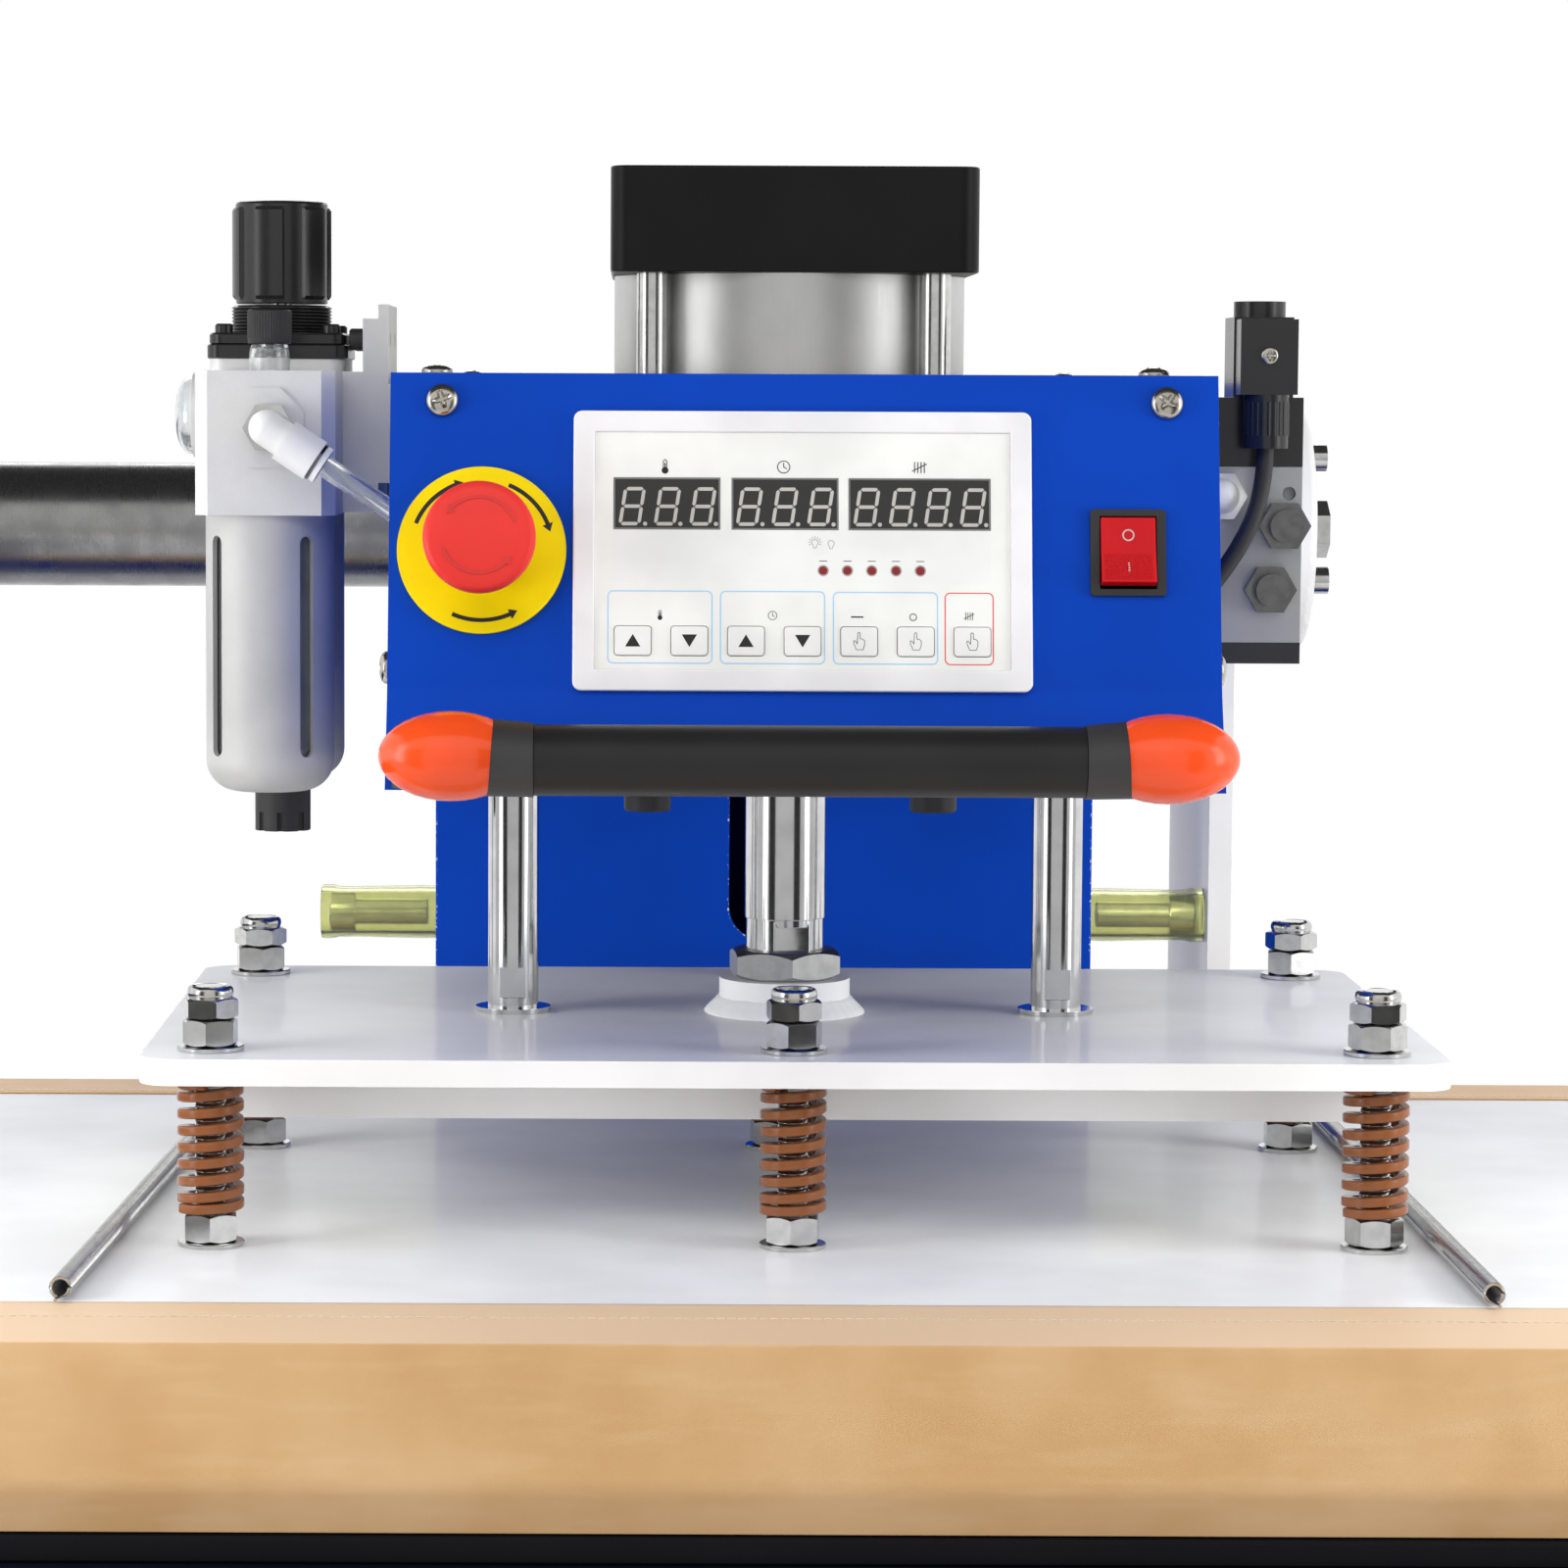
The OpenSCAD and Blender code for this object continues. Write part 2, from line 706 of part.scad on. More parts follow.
// Carriage
module cross_holes(z, d) translate([0, shaft_y, z]) rotate([0, 90, 0])
    cylinder(h = 2 * body_w, d = d, center = true);
module carriage_body() color("Blue") at_press() difference() {
    block([-body_w / 2, body_w / 2, body_y, body_back, body_bottom, body_top]);
    block([-body_w / 2, body_w / 2, body_y, body_back, body_bottom, body_top], -body_wall);
    cross_holes(shaft_z, shaft_d + 2 * bush_wall + 2 * fit);
    cross_holes(low_shaft_z, low_shaft_d + 2 * bush_wall + 2 * fit);
    translate([0, body_y, 0]) rotate([90, 0, 0]) linear_extrude(2 * body_wall + 2 * over, center = true) {
        translate([-slot_w / 2, slot_low + slot_w / 2]) square([slot_w, slot_high - slot_low - slot_w / 2]);
        translate([0, slot_low + slot_w / 2]) circle(d = slot_w);
    }
    translate([0, bumper_y, bumper_z]) rotate([0, 90, 0])
        cylinder(h = 2 * body_w, d = bumper_bolt_d + 2 * fit, center = true);
    translate([-body_w / 2 + gland_inset, body_back - body_wall - over, body_bottom + gland_rise])
        rotate([-90, 0, 0]) cylinder(h = body_wall + 2 * over, d = gland_thread_d + 2 * fit);
}
module bush(d, wall, len, flange, flange_t) difference() {
    union() {
        cylinder(h = len, d = d + 2 * wall);
        translate([0, 0, -flange_t]) cylinder(h = flange_t, d = d + 2 * (wall + flange));
    }
    translate([0, 0, -flange_t - over]) cylinder(h = len + flange_t + 2 * over, d = d + 2 * fit);
}
module shaft_bushes() at_press() {
    for (side = [-1, 1]) {
        color("Goldenrod") translate([side * body_w / 2, shaft_y, shaft_z]) rotate([0, -90 * side, 0])
            bush(shaft_d, bush_wall, bush_len, bush_flange, bush_flange_t);
        color("Goldenrod") translate([side * body_w / 2, shaft_y, low_shaft_z]) rotate([0, -90 * side, 0])
            bush(low_shaft_d, bush_wall, bush_len, bush_flange, bush_flange_t);
        color("Goldenrod") translate([side * guide_span / 2, 0, base_plate_z])
            bush(guide_d, guide_bush_wall, guide_bush_len, guide_bush_flange, guide_bush_flange_t);
    }
}
module bumper(side) translate([side * body_w / 2, bumper_y, bumper_z]) rotate([0, 90 * side, 0]) children();
bumper_len = bumper_reach - body_w / 2;
module bumper_sleeves() color("YellowGreen") at_press() for (side = [-1, 1]) bumper(side) difference() {
    cylinder(h = bumper_len, d = bumper_d);
    translate([0, 0, -over]) cylinder(h = bumper_len + 2 * over, d = bumper_head_d + 2 * gap);
}
module mount_places() for (x = [-mount_r, mount_r], y = [-mount_r, mount_r])
    translate([x, y, 0]) children();
module cover_screw_places() for (x = [-cover_screw_x, cover_screw_x],
    y = [cover_screw_front, body_y - cover_screw_inset]) translate([x, y, top_z]) children();
module side_screw_places() for (side = [-1, 1])
    translate([side * head_w / 2, side_screw_y, floor_z + side_screw_rise])
    rotate([0, 90 * side, 0]) children();
module pan_screw() {
    cylinder(h = screw_head_h / 2, d = screw_head_d);
    translate([0, 0, screw_head_h / 2])
        cylinder(h = screw_head_h / 2, d1 = screw_head_d, d2 = screw_head_d * socket_share);
    translate([0, 0, -screw_len]) cylinder(h = screw_len + screw_head_h / 2, d = screw_d);
}
module carriage_fasteners() at_press() {
    color("Gray") for (x = [-screw_x, screw_x]) on_panel(x, screw_down) pan_screw();
    color("Gray") cover_screw_places() pan_screw();
    color("Black") for (side = [-1, 1]) bumper(side)
        translate([0, 0, bumper_len - bumper_head_in - bumper_head_h])
        socket_bolt(bumper_head_d, bumper_head_h, bumper_bolt_d, bumper_len);
    color("Black") mount_places() translate([0, 0, base_plate_z]) rotate([180, 0, 0])
        socket_bolt(mount_head_d, mount_head_h, mount_bolt_d, base_plate_t + mount_head_h);
    color("Gray") side_screw_places() pan_screw();
    color("Silver") for (y = bracket_bolt_y)
        translate([bracket_x - bracket_t, y, top_z + bracket_bolt_rise])
        rotate([0, -90, 0]) socket_bolt(bracket_bolt_d, screw_d, screw_d, bracket_t);
}

// Head box
shell_line = [[-head_front + sheet, top_z - sheet], [bend_y + sheet, floor_z + lip_h], [lip_y + sheet,
    floor_z],
    [body_y, floor_z], [body_y, top_z - sheet]];
hose_wall_point = 12;                           // the point of the hose that lies in the side wall
hose_end = hose_path[hose_wall_point];
cable_end = cable_path[len(cable_path) - 2];
module head_shell() color("Blue") at_press() difference() {
    along_x(head_w) polygon(shell_line);
    block([-head_w / 2 + sheet, head_w / 2 - sheet, lip_y - over, body_y + over, floor_z + sheet,
        top_z + over]);
    block([-floor_cut_half, floor_cut_half, -base_plate_front - gap, body_y + over, floor_z - over, top_z]);
    side_screw_places() cylinder(h = 3 * sheet, d = screw_d + 2 * gap, center = true);
    translate([0, hose_end[1], floor_z + hose_end[2]]) rotate([0, -90, 0])
        cylinder(h = head_w, d = 2 * hose_d);
    translate([0, cable_end[1], floor_z + cable_end[2]]) rotate([0, 90, 0])
        cylinder(h = head_w, d = 2 * cable_d);
}
module front_panel() color("Blue") at_press() difference() {
    along_x(head_w) polygon([[-head_front, top_z], [bend_y, floor_z + lip_h], [lip_y, floor_z],
        [lip_y + sheet, floor_z], [bend_y + sheet, floor_z + lip_h], [-head_front + sheet, top_z]]);
    on_panel(estop_x, row_down)
        cylinder(h = 2 * sheet + 2 * over, d = estop_barrel_d + 2 * fit, center = true);
    on_panel(control_x, row_down)
        cube([bezel_w - 2 * bezel_rim + 2 * gap, bezel_h - 2 * bezel_rim + 2 * gap,
        2 * sheet + 2 * over], center = true);
    on_panel(rocker_x, row_down) cube([switch_open_w + 2 * (switch_wall + gap),
        switch_open_h + 2 * (switch_wall + gap), 2 * sheet + 2 * over], center = true);
    for (x = [-screw_x, screw_x]) on_panel(x, screw_down)
        cylinder(h = 2 * sheet + 2 * over, d = screw_d + 2 * gap, center = true);
}
module top_cover() color("Ivory") at_press() difference() {
    block([-head_w / 2, head_w / 2, -head_front + sheet, body_y, top_z - sheet, top_z]);
    translate([0, 0, top_z - sheet - over]) linear_extrude(sheet + 2 * over)
        rounded(cap_w + sheet, cap_w + sheet, cap_corner);
    cover_screw_places() cylinder(h = 2 * sheet + 2 * over, d = screw_d + 2 * gap, center = true);
}
module base_plate() color("DimGray") at_press() difference() {
    block([-floor_cut_half + gap, floor_cut_half - gap, -base_plate_front, body_y,
        base_plate_z, base_plate_z + base_plate_t]);
    translate([0, 0, base_plate_z - over]) {
        cylinder(h = base_plate_t + 2 * over, d = rod_d + 2 * rod_hole_gap);
        for (side = [-1, 1]) translate([side * guide_span / 2, 0, 0])
            cylinder(h = base_plate_t + 2 * over, d = guide_d + 2 * guide_bush_wall + 2 * fit);
        mount_places() cylinder(h = base_plate_t + 2 * over, d = mount_bolt_d + 2 * gap);
    }
}

// Cylinder on the base plate
module cylinder_caps() color("DarkSlateGray") at_press() {
    translate([0, 0, low_cap_z]) difference() {
        linear_extrude(low_cap_h) rounded(cap_w, cap_w, cap_corner);
        translate([0, 0, -over]) cylinder(h = low_cap_h + 2 * over, d = rod_d + 2 * fit);
        mount_places() translate([0, 0, -over])
            cylinder(h = mount_head_h + 2 * over, d = mount_bolt_d + 2 * fit);
    }
    translate([0, 0, cap_z]) difference() {
        linear_extrude(cap_h) rounded(cap_w, cap_w, cap_corner);
        for (x = [-tie_r, tie_r], y = [-tie_r, tie_r]) translate([x, y, cap_h - cap_recess_h])
            cylinder(h = cap_recess_h + over, d = cap_recess_d);
    }
}
module cylinder_barrel() color("Silver") at_press() translate([0, 0, barrel_z]) difference() {
    cylinder(h = barrel_len, d = bore_d + 2 * barrel_wall, $fn = 96);
    translate([0, 0, -over]) cylinder(h = barrel_len + 2 * over, d = bore_d, $fn = 96);
}
module tie_rods() color("Silver") at_press() for (x = [-tie_r, tie_r], y = [-tie_r, tie_r])
    translate([x, y, barrel_z]) {
        cylinder(h = barrel_len, d = tie_d);
        translate([0, 0, barrel_len + cap_h - cap_recess_h]) difference() {
            cylinder(h = cap_recess_h - over, d = cap_recess_d - 2 * gap);
            translate([0, 0, cap_recess_h / 2]) hex(cap_socket_af, cap_recess_h);
        }
    }

// Front panel fittings
module control_bezel() color("White") at_press() on_panel(control_x, row_down) difference() {
    union() {
        linear_extrude(bezel_t) rounded(bezel_w, bezel_h, bezel_r);
        translate([0, 0, -tray_deep / 2])
            cube([bezel_w - 2 * bezel_rim, bezel_h - 2 * bezel_rim, tray_deep], center = true);
    }
    linear_extrude(bezel_t + over)
        square([bezel_w - 2 * bezel_rim, bezel_h - 2 * bezel_rim], center = true);
    translate([0, 0, -tray_wall - tray_deep / 2]) cube([bezel_w - 2 * (bezel_rim + tray_wall),
        bezel_h - 2 * (bezel_rim + tray_wall), tray_deep], center = true);
}
module key_place(i) translate([(i - 4) * key_pitch, -key_down, 0]) children();
module lamp_places() for (i = [0:4]) translate([lamp_first + i * lamp_pitch, -lamp_down, 0]) children();
module control_overlay() at_press() on_panel(control_x, row_down) {
    color("WhiteSmoke") difference() {
        linear_extrude(overlay_t) square([bezel_w - 2 * bezel_rim - 2 * overlay_gap,
            bezel_h - 2 * bezel_rim - 2 * overlay_gap], center = true);
        for (d = display_places) translate([d[0], display_up, display_floor + overlay_t])
            cube([d[1], display_h, 2 * overlay_t], center = true);
        lamp_places() translate([0, 0, display_floor]) cylinder(h = overlay_t, d = lamp_d);
        for (i = [1:7]) key_place(i) translate([0, 0, key_floor]) linear_extrude(overlay_t)
            rounded(key_w + 2 * gap, key_h + 2 * gap, key_r + gap);
    }
    color("Black") for (d = display_places)
        translate([d[0] - d[1] / 2 + overlay_gap, display_up - display_h / 2 + overlay_gap, display_floor])
            cube([d[1] - 2 * overlay_gap, display_h - 2 * overlay_gap,
                overlay_t - display_floor + display_proud]);
    color("DarkRed") lamp_places() translate([0, 0, display_floor])
        cylinder(h = overlay_t - display_floor, d = lamp_d - 2 * overlay_gap);
}
module key(i) color("WhiteSmoke") at_press() on_panel(control_x, row_down) key_place(i)
    translate([0, 0, key_floor + key_under]) linear_extrude(key_t) rounded(key_w, key_h, key_r);
module key_1() key(1);
module key_2() key(2);
module key_3() key(3);
module key_4() key(4);
module key_5() key(5);
module key_6() key(6);
module key_7() key(7);
module estop_ring() at_press() on_panel(estop_x, row_down) {
    color("Yellow") washer(estop_plate_d, estop_plate_t, estop_barrel_d + 2 * fit);
    color("Black") difference() {
        union() {
            translate([0, 0, estop_plate_t])
                cylinder(h = estop_collar_h - estop_plate_t, d = estop_collar_d);
            translate([0, 0, -estop_barrel_deep])
                cylinder(h = estop_barrel_deep + estop_plate_t + over, d = estop_barrel_d);
        }
        translate([0, 0, estop_stem_room - estop_barrel_deep])
            cylinder(h = estop_barrel_deep + estop_collar_h, d = stem_d + 2 * fit);
    }
}
module estop_stem() color("DarkRed") at_press() on_panel(estop_x, row_down)
    translate([0, 0, -stem_in]) cylinder(h = stem_in + stem_top, d = stem_d);
module estop_mushroom() color("Red") at_press() on_panel(estop_x, row_down) translate([0, 0, mushroom_z])
    difference() {
        rotate_extrude($fn = 96) polygon([[0, 0], [mushroom_neck_d / 2, 0],
            [mushroom_d / 2 - over, mushroom_edge_z], [mushroom_d / 2, mushroom_edge_z + over],
            [mushroom_d / 2, mushroom_h - mushroom_rim], [mushroom_d / 2 - over, mushroom_h - over],
            [mushroom_d / 2 - mushroom_rim, mushroom_h], [0, mushroom_h]]);
        translate([0, 0, -over]) cylinder(h = stem_top - mushroom_z + over + gap, d = stem_d + 2 * fit);
    }
module switch_bezel() color("Black") at_press() on_panel(rocker_x, row_down) difference() {
    union() {
        linear_extrude(switch_t) rounded(switch_w, switch_h, switch_r);
        translate([0, 0, -switch_body_deep / 2])
            cube([switch_open_w + 2 * switch_wall, switch_open_h + 2 * switch_wall, switch_body_deep],
                center = true);
    }
    translate([-switch_open_w / 2, -switch_open_h / 2, switch_wall - switch_body_deep])
        cube([switch_open_w, switch_open_h, switch_body_deep + switch_t]);
}
module power_rocker() color("Red") at_press() on_panel(rocker_x, row_down) translate([0, 0, -rocker_pivot])
    rotate([-rocker_lean, 0, 0]) along_x(rocker_w) polygon([[-rocker_half, 0], [-rocker_half, rocker_high],
        [0, rocker_high - rocker_dip], [rocker_half, rocker_high], [rocker_half, 0],
        [rocker_half / 2, -rocker_root], [-rocker_half / 2, -rocker_root]]);

// Handle
module bar_axis() translate([0, bar_y, bar_z]) rotate([0, 90, 0]) children();
module handle_bar() color("Black") at_press() bar_axis()
    cylinder(h = 2 * bar_half, d = bar_d, center = true);
foot_mid_z = floor_z + bracket_foot_h / 2 + cap_rise;
foot_mid_y = lip_y + bracket_foot_h / 2 * tan(lip_lean);
module handle_bracket() difference() {
    union() {
        difference() {
            hull($fn = 32) {
                translate([bar_half, bar_y, bar_z]) rotate([0, 90, 0])
                    cylinder(h = over, d = bracket_d, $fn = 32);
                translate([bracket_mid, bracket_boss_y, bar_z + cap_rise]) sphere(bracket_boss_r, $fn = 32);
                translate([bracket_mid, foot_mid_y, foot_mid_z])
                    cube([2 * (bracket_end - bracket_mid), 2 * bracket_foot_t, bracket_foot_h],
                        center = true);
            }
            half_egg(fit);
        }
        full_egg(-cap_wall - fit);
    }
    along_x(head_w + 2 * over) polygon(box_line);
}
module both_handle_ends() {
    children();
    mirror([1, 0, 0]) children();
}
function egg(r, half) = [for (a = [-90:10:90]) [r * cos(a), half * sin(a)]];
module full_egg(grow) translate([cap_mid, cap_cut_y, bar_z + cap_rise]) rotate([0, 90, 0])
    rotate_extrude() polygon(egg(cap_egg_r + grow, cap_egg_half + grow));
module half_egg(grow) intersection() {
    full_egg(grow);
    translate([cap_mid, cap_cut_y - 2 * cap_egg_r, bar_z])
        cube([4 * cap_egg_half, 4 * cap_egg_r, 4 * cap_egg_r], center = true);
}
module handle_brackets() color("Black") at_press() both_handle_ends() handle_bracket();
module handle_caps() color("OrangeRed") at_press() both_handle_ends() difference() {
    half_egg(0);
    full_egg(-cap_wall);
}

// Air preparation unit
module unit_at(y) translate([air_x, y, air_body_z]) children();
module air_block() linear_extrude(air_body_h) chamfered(air_w, air_chamfer);
bonnet_z = air_body_h + bonnet_h + bonnet_plate_h;
module air_bodies() at_press() {
    color("Silver") unit_at(air_front_y) {
        air_block();
        translate([0, -air_w / 2, elbow_z - air_body_z]) rotate([90, 0, 0]) rotate(180 / 8)
            cylinder(h = 2 * port_t, d = port_af / cos(180 / 8), center = true, $fn = 8);
    }
    color("Silver") unit_at(air_rear_y) difference() {
        union() {
            air_block();
            translate([0, 0, air_body_h]) linear_extrude(bonnet_h) rounded(air_w, air_w, bonnet_corner);
            translate([0, 0, air_body_h + bonnet_h]) linear_extrude(bonnet_plate_h)
                rounded(bonnet_plate_w, bonnet_plate_w, bonnet_corner);
            translate([0, 0, bonnet_z]) cylinder(h = ring_h, d = ring_d);
        }
        translate([0, 0, bonnet_z + ring_h - spindle_root])
            cylinder(h = spindle_root + over, d = spindle_d + 2 * fit);
        translate([0, air_w / 2 - inlet_deep, air_body_h / 2]) rotate([-90, 0, 0])
            cylinder(h = inlet_deep + over, d = inlet_d);
    }
    color("LightCyan") unit_at(air_front_y) translate([0, 0, air_body_h]) difference() {
        cylinder(h = dome_h, d = dome_d);
        translate([0, 0, dome_h / 2]) cylinder(h = dome_h, d = drip_bore_d + 2 * fit);
    }
}
module bowl_profile(r, len) {
    translate([0, -len]) square([r - bowl_round, len]);
    translate([0, -len + bowl_round]) square([r, len - bowl_round]);
    translate([r - bowl_round, -len + bowl_round]) circle(bowl_round);
}
module bowl(r, len, wall) difference() {
    rotate_extrude() intersection() {
        bowl_profile(r, len);
        translate([0, -len]) square([r, len]);
    }
    rotate_extrude() intersection() {
        translate([0, wall]) bowl_profile(r - wall, len);
        translate([0, -len]) square([r, len + wall + over]);
    }
    cylinder(h = over, d = 2 * (r - wall));
}
module bowl_guards() at_press() {
    for (y = [air_front_y, air_rear_y]) unit_at(y) bowl_guard(y);
    color("Black") unit_at(air_rear_y) translate([-air_w / 2, -latch_w / 2, -latch_h])
        cube([(air_w - bowl_d) / 2, latch_w, latch_h]);
}
module bowl_guard(y) color("DimGray") difference() {
    bowl(bowl_d / 2, bowl_len, bowl_wall);
    for (a = slot_turns) rotate(a - 90)
        translate([bowl_d / 2, 0, (bowl_slot_low + bowl_slot_high) / 2 - bowl_len])
        rotate([90, 0, 90]) linear_extrude(4 * bowl_wall, center = true)
        rounded(bowl_slot_w, bowl_slot_high - bowl_slot_low, bowl_slot_w * slot_round);
    if (y == air_rear_y) translate([0, 0, -bowl_len - over])
        cylinder(h = bowl_wall + 2 * over, d = drain_neck_d + 2 * gap);
}
module filter_bowls() color("LightCyan", 0.5) at_press() for (y = [air_front_y, air_rear_y]) unit_at(y) {
    bowl(bowl_d / 2 - bowl_wall - bowl_gap, bowl_len - bowl_wall - bowl_gap, bowl_inner_wall);
    if (y == air_rear_y) translate([0, 0, -bowl_len - drain_neck_h])
        cylinder(h = drain_neck_h + bowl_wall + bowl_gap, d = drain_neck_d);
}
module filter_drain() color("Black") at_press() unit_at(air_rear_y)
    translate([0, 0, -bowl_len - drain_neck_h / 2 - drain_h]) difference() {
        cylinder(h = drain_h, d = drain_d);
        translate([0, 0, drain_h - drain_neck_h / 2 - gap])
            cylinder(h = drain_neck_h, d = drain_neck_d + 2 * fit);
        for (a = [0:360 / drain_grips:359]) rotate(a) translate([drain_d / 2, 0, -over])
            cylinder(h = drain_h / 2, d = drain_grip_d);
    }
module pressure_gauge() at_press() unit_at(air_rear_y)
    translate([-air_w / 2, 0, air_body_h - gauge_d / 2])
    rotate([0, -90, 0]) {
        color("Silver") cylinder(h = gauge_t, d = gauge_d);
        color("LightCyan") translate([0, 0, gauge_t])
            cylinder(h = gauge_dome, d1 = gauge_d - gauge_rim, d2 = gauge_d / 2);
    }
module air_bracket() at_press() {
    color("Silver") difference() {
        union() {
            block([air_x - air_w / 2 + air_chamfer, bracket_x, air_front_y + air_w / 2,
                air_rear_y - air_w / 2,
                air_body_z, air_body_z + air_body_h]);
            block([bracket_x - bracket_t, bracket_x, air_front_y + air_w / 2, air_rear_y + air_w / 2,
                air_body_z, air_body_z + bracket_high]);
        }
        bracket_bolt_holes();
    }
    color("White") difference() {
        union() {
            block([bracket_x, bracket_x + tab_t, air_front_y + air_w / 2, air_rear_y + air_w / 2,
                top_z - tab_low, top_z + tab_high]);
            block([bracket_x, -head_w / 2, air_front_y + air_w / 2, air_rear_y + air_w / 2,
                top_z - tab_low, top_z - 2 * sheet]);
        }
        bracket_bolt_holes();
    }
}
module bracket_bolt_holes() for (y = bracket_bolt_y) translate([bracket_x, y, top_z + bracket_bolt_rise])
    rotate([0, 90, 0]) cylinder(h = 4 * bracket_t, d = screw_d + 2 * fit, center = true);
module regulator_spindle() color("Silver") at_press() unit_at(air_rear_y)
    translate([0, 0, bonnet_z + ring_h - spindle_root + gap])
        cylinder(h = spindle_root + knob_bore_deep - knob_lift, d = spindle_d);
module regulator_knob() color("Black") at_press() unit_at(air_rear_y)
    translate([0, 0, bonnet_z + ring_h + knob_bottom_gap]) difference() {
        cylinder(h = knob_h, d = knob_d);
        for (i = [0:knob_flutes - 1]) rotate(knob_turn + i * 360 / knob_flutes)
            translate([(knob_d + knob_flute_d) / 2 - knob_flute_deep, 0, -over])
                cylinder(h = knob_h - knob_rim + over, d = knob_flute_d);
        translate([0, 0, -over]) cylinder(h = knob_bore_deep + over, d = spindle_d + 2 * fit);
    }
module drip_cap() color("Black") at_press() unit_at(air_front_y)
    translate([0, 0, air_body_h + dome_h + gap]) {
    difference() {
        cylinder(h = drip_h, d = drip_d);
        for (i = [0:drip_ribs - 1]) rotate(i * 360 / drip_ribs) translate([drip_d / 2, 0, over])
            cylinder(h = drip_h, d = drip_rib_d);
    }
    translate([0, 0, -dome_h / 2 + gap]) cylinder(h = dome_h / 2 + over, d = drip_bore_d);
}

// Fittings: elbows, blanking plugs and the cable gland
module elbow_neck(len) rotate([90, 0, 0]) {
    hex(elbow_hex_af, elbow_hex_h);
    cylinder(h = len, d = elbow_d);
}
module fittings() at_press() {
    color("White") translate([elbow_x, air_front_y - air_w / 2 - port_t, elbow_z]) {
        elbow_neck(elbow_out);
        translate([0, -elbow_out, 0]) sphere(d = elbow_d);
        translate([0, -elbow_out, 0]) rotate([0, 90 - elbow_turn, 0]) difference() {
            union() {
                cylinder(h = elbow_len, d = elbow_d);
                translate([0, 0, elbow_len]) cylinder(h = elbow_collar_len, d = elbow_collar_d);
                translate([0, 0, elbow_len + elbow_collar_len]) cylinder(h = release_len, d = release_d);
            }
            translate([0, 0, elbow_len + elbow_collar_len - hose_in])
                cylinder(h = hose_in + release_len + over, d = hose_d + 2 * gap);
        }
    }
    translate([head_w / 2, valve_y, valve_z]) {
        color("White") translate([valve_elbow[0], 0, valve_elbow[1]]) {
            elbow_neck(elbow_d / 2);
            translate([0, -elbow_d / 2, 0]) sphere(d = elbow_d);
            translate([-valve_elbow[0], -elbow_d / 2, 0]) rotate([0, 90, 0])
                cylinder(h = valve_elbow[0], d = elbow_d);
        }
        color("DimGray") for (p = valve_plugs) translate([p[0], 0, p[1]]) rotate([90, 0, 0]) {
            hex(plug_hex_af, plug_hex_h);
            translate([0, 0, plug_hex_h]) cylinder(h = plug_cap_h, d = plug_cap_d);
        }
    }
    color("Black") translate([-body_w / 2 + gland_inset, body_back, body_bottom + gland_rise])
        rotate([-90, 0, 0])
        difference() {
            union() {
                hex(gland_nut_af, gland_nut_h);
                translate([0, 0, -body_wall]) cylinder(h = body_wall + over, d = gland_thread_d);
                translate([0, 0, gland_nut_h])
                    cylinder(h = gland_len - gland_nut_h - body_wall, d = gland_d);
            }
            translate([0, 0, -body_wall - over]) cylinder(h = gland_len + body_wall, d = gland_bore_d);
        }
}
function from_floor(path) = [for (p = path) p + [0, 0, floor_z]];
module air_hose() color("LightCyan", 0.6) at_press()
    tube_along(from_floor(hose_path), hose_d / 2, hose_sides);

// Solenoid valve on the right side of the head box
module valve_body() at_press() translate([head_w / 2, valve_y, valve_z]) {
    color("Silver") difference() {
        cube([valve_w, valve_depth, valve_h]);
        translate([valve_w - override_d, 0, valve_h - 2 * override_d]) rotate([90, 0, 0])
            cylinder(h = 2 * override_d, d = override_d, center = true);
    }
    color("Black") translate([0, 0, -valve_end_h]) cube([valve_w, valve_depth, valve_end_h]);
}
module valve_coil() color("Black") at_press() translate([head_w / 2, valve_y, valve_z + valve_h]) {
    cube([valve_w, valve_depth, pilot_h]);
    translate([coil_in, 0, pilot_h]) {
        cube([coil_w, valve_depth, coil_h]);
        translate([coil_w / 2, valve_depth / 2, coil_h]) cylinder(h = coil_nut_h, d = coil_nut_d);
        translate([(coil_w - connector_w) / 2, -connector_depth, over])
            cube([connector_w, connector_depth, connector_h]);
    }
    translate([coil_in + coil_w / 2, -connector_depth / 2,
        pilot_h + over - cable_nut_h]) difference() {
        cylinder(h = cable_nut_h, d = cable_nut_d);
        translate([0, 0, -over]) cylinder(h = cable_nut_h / 2, d = cable_d + 2 * gap);
    }
}
module valve_cable() color("Black") at_press() tube_along(from_floor(cable_path), cable_d / 2, 8);

// Ram
module piston_rod() at_press() {
    color("Silver") difference() {
        union() {
            translate([0, 0, plate_top + rod_seat]) cylinder(h = rod_neck_h - rod_seat, d = rod_neck_d);
            translate([0, 0, plate_top + rod_neck_h])
                cylinder(h = barrel_z + piston_start + piston_t - plate_top - rod_neck_h, d = rod_d);
            translate([0, 0, barrel_z + piston_start])
                cylinder(h = piston_t, d = bore_d - 2 * fit, $fn = 96);
        }
        for (s = [0, 180]) translate([0, 0, plate_top + rod_flat_top - rod_flat_h])
            rotate(s + rod_flat_turn)
            translate([-rod_d, -rod_d, 0])
                cube([2 * rod_d, rod_d - rod_neck_d / 2 + rod_flat_cut, rod_flat_h]);
    }
    color("Silver") translate([0, 0, plate_top + boss_h]) rotate(jam_turn)
        nut(jam_af, jam_h, rod_neck_d + 2 * fit);
}
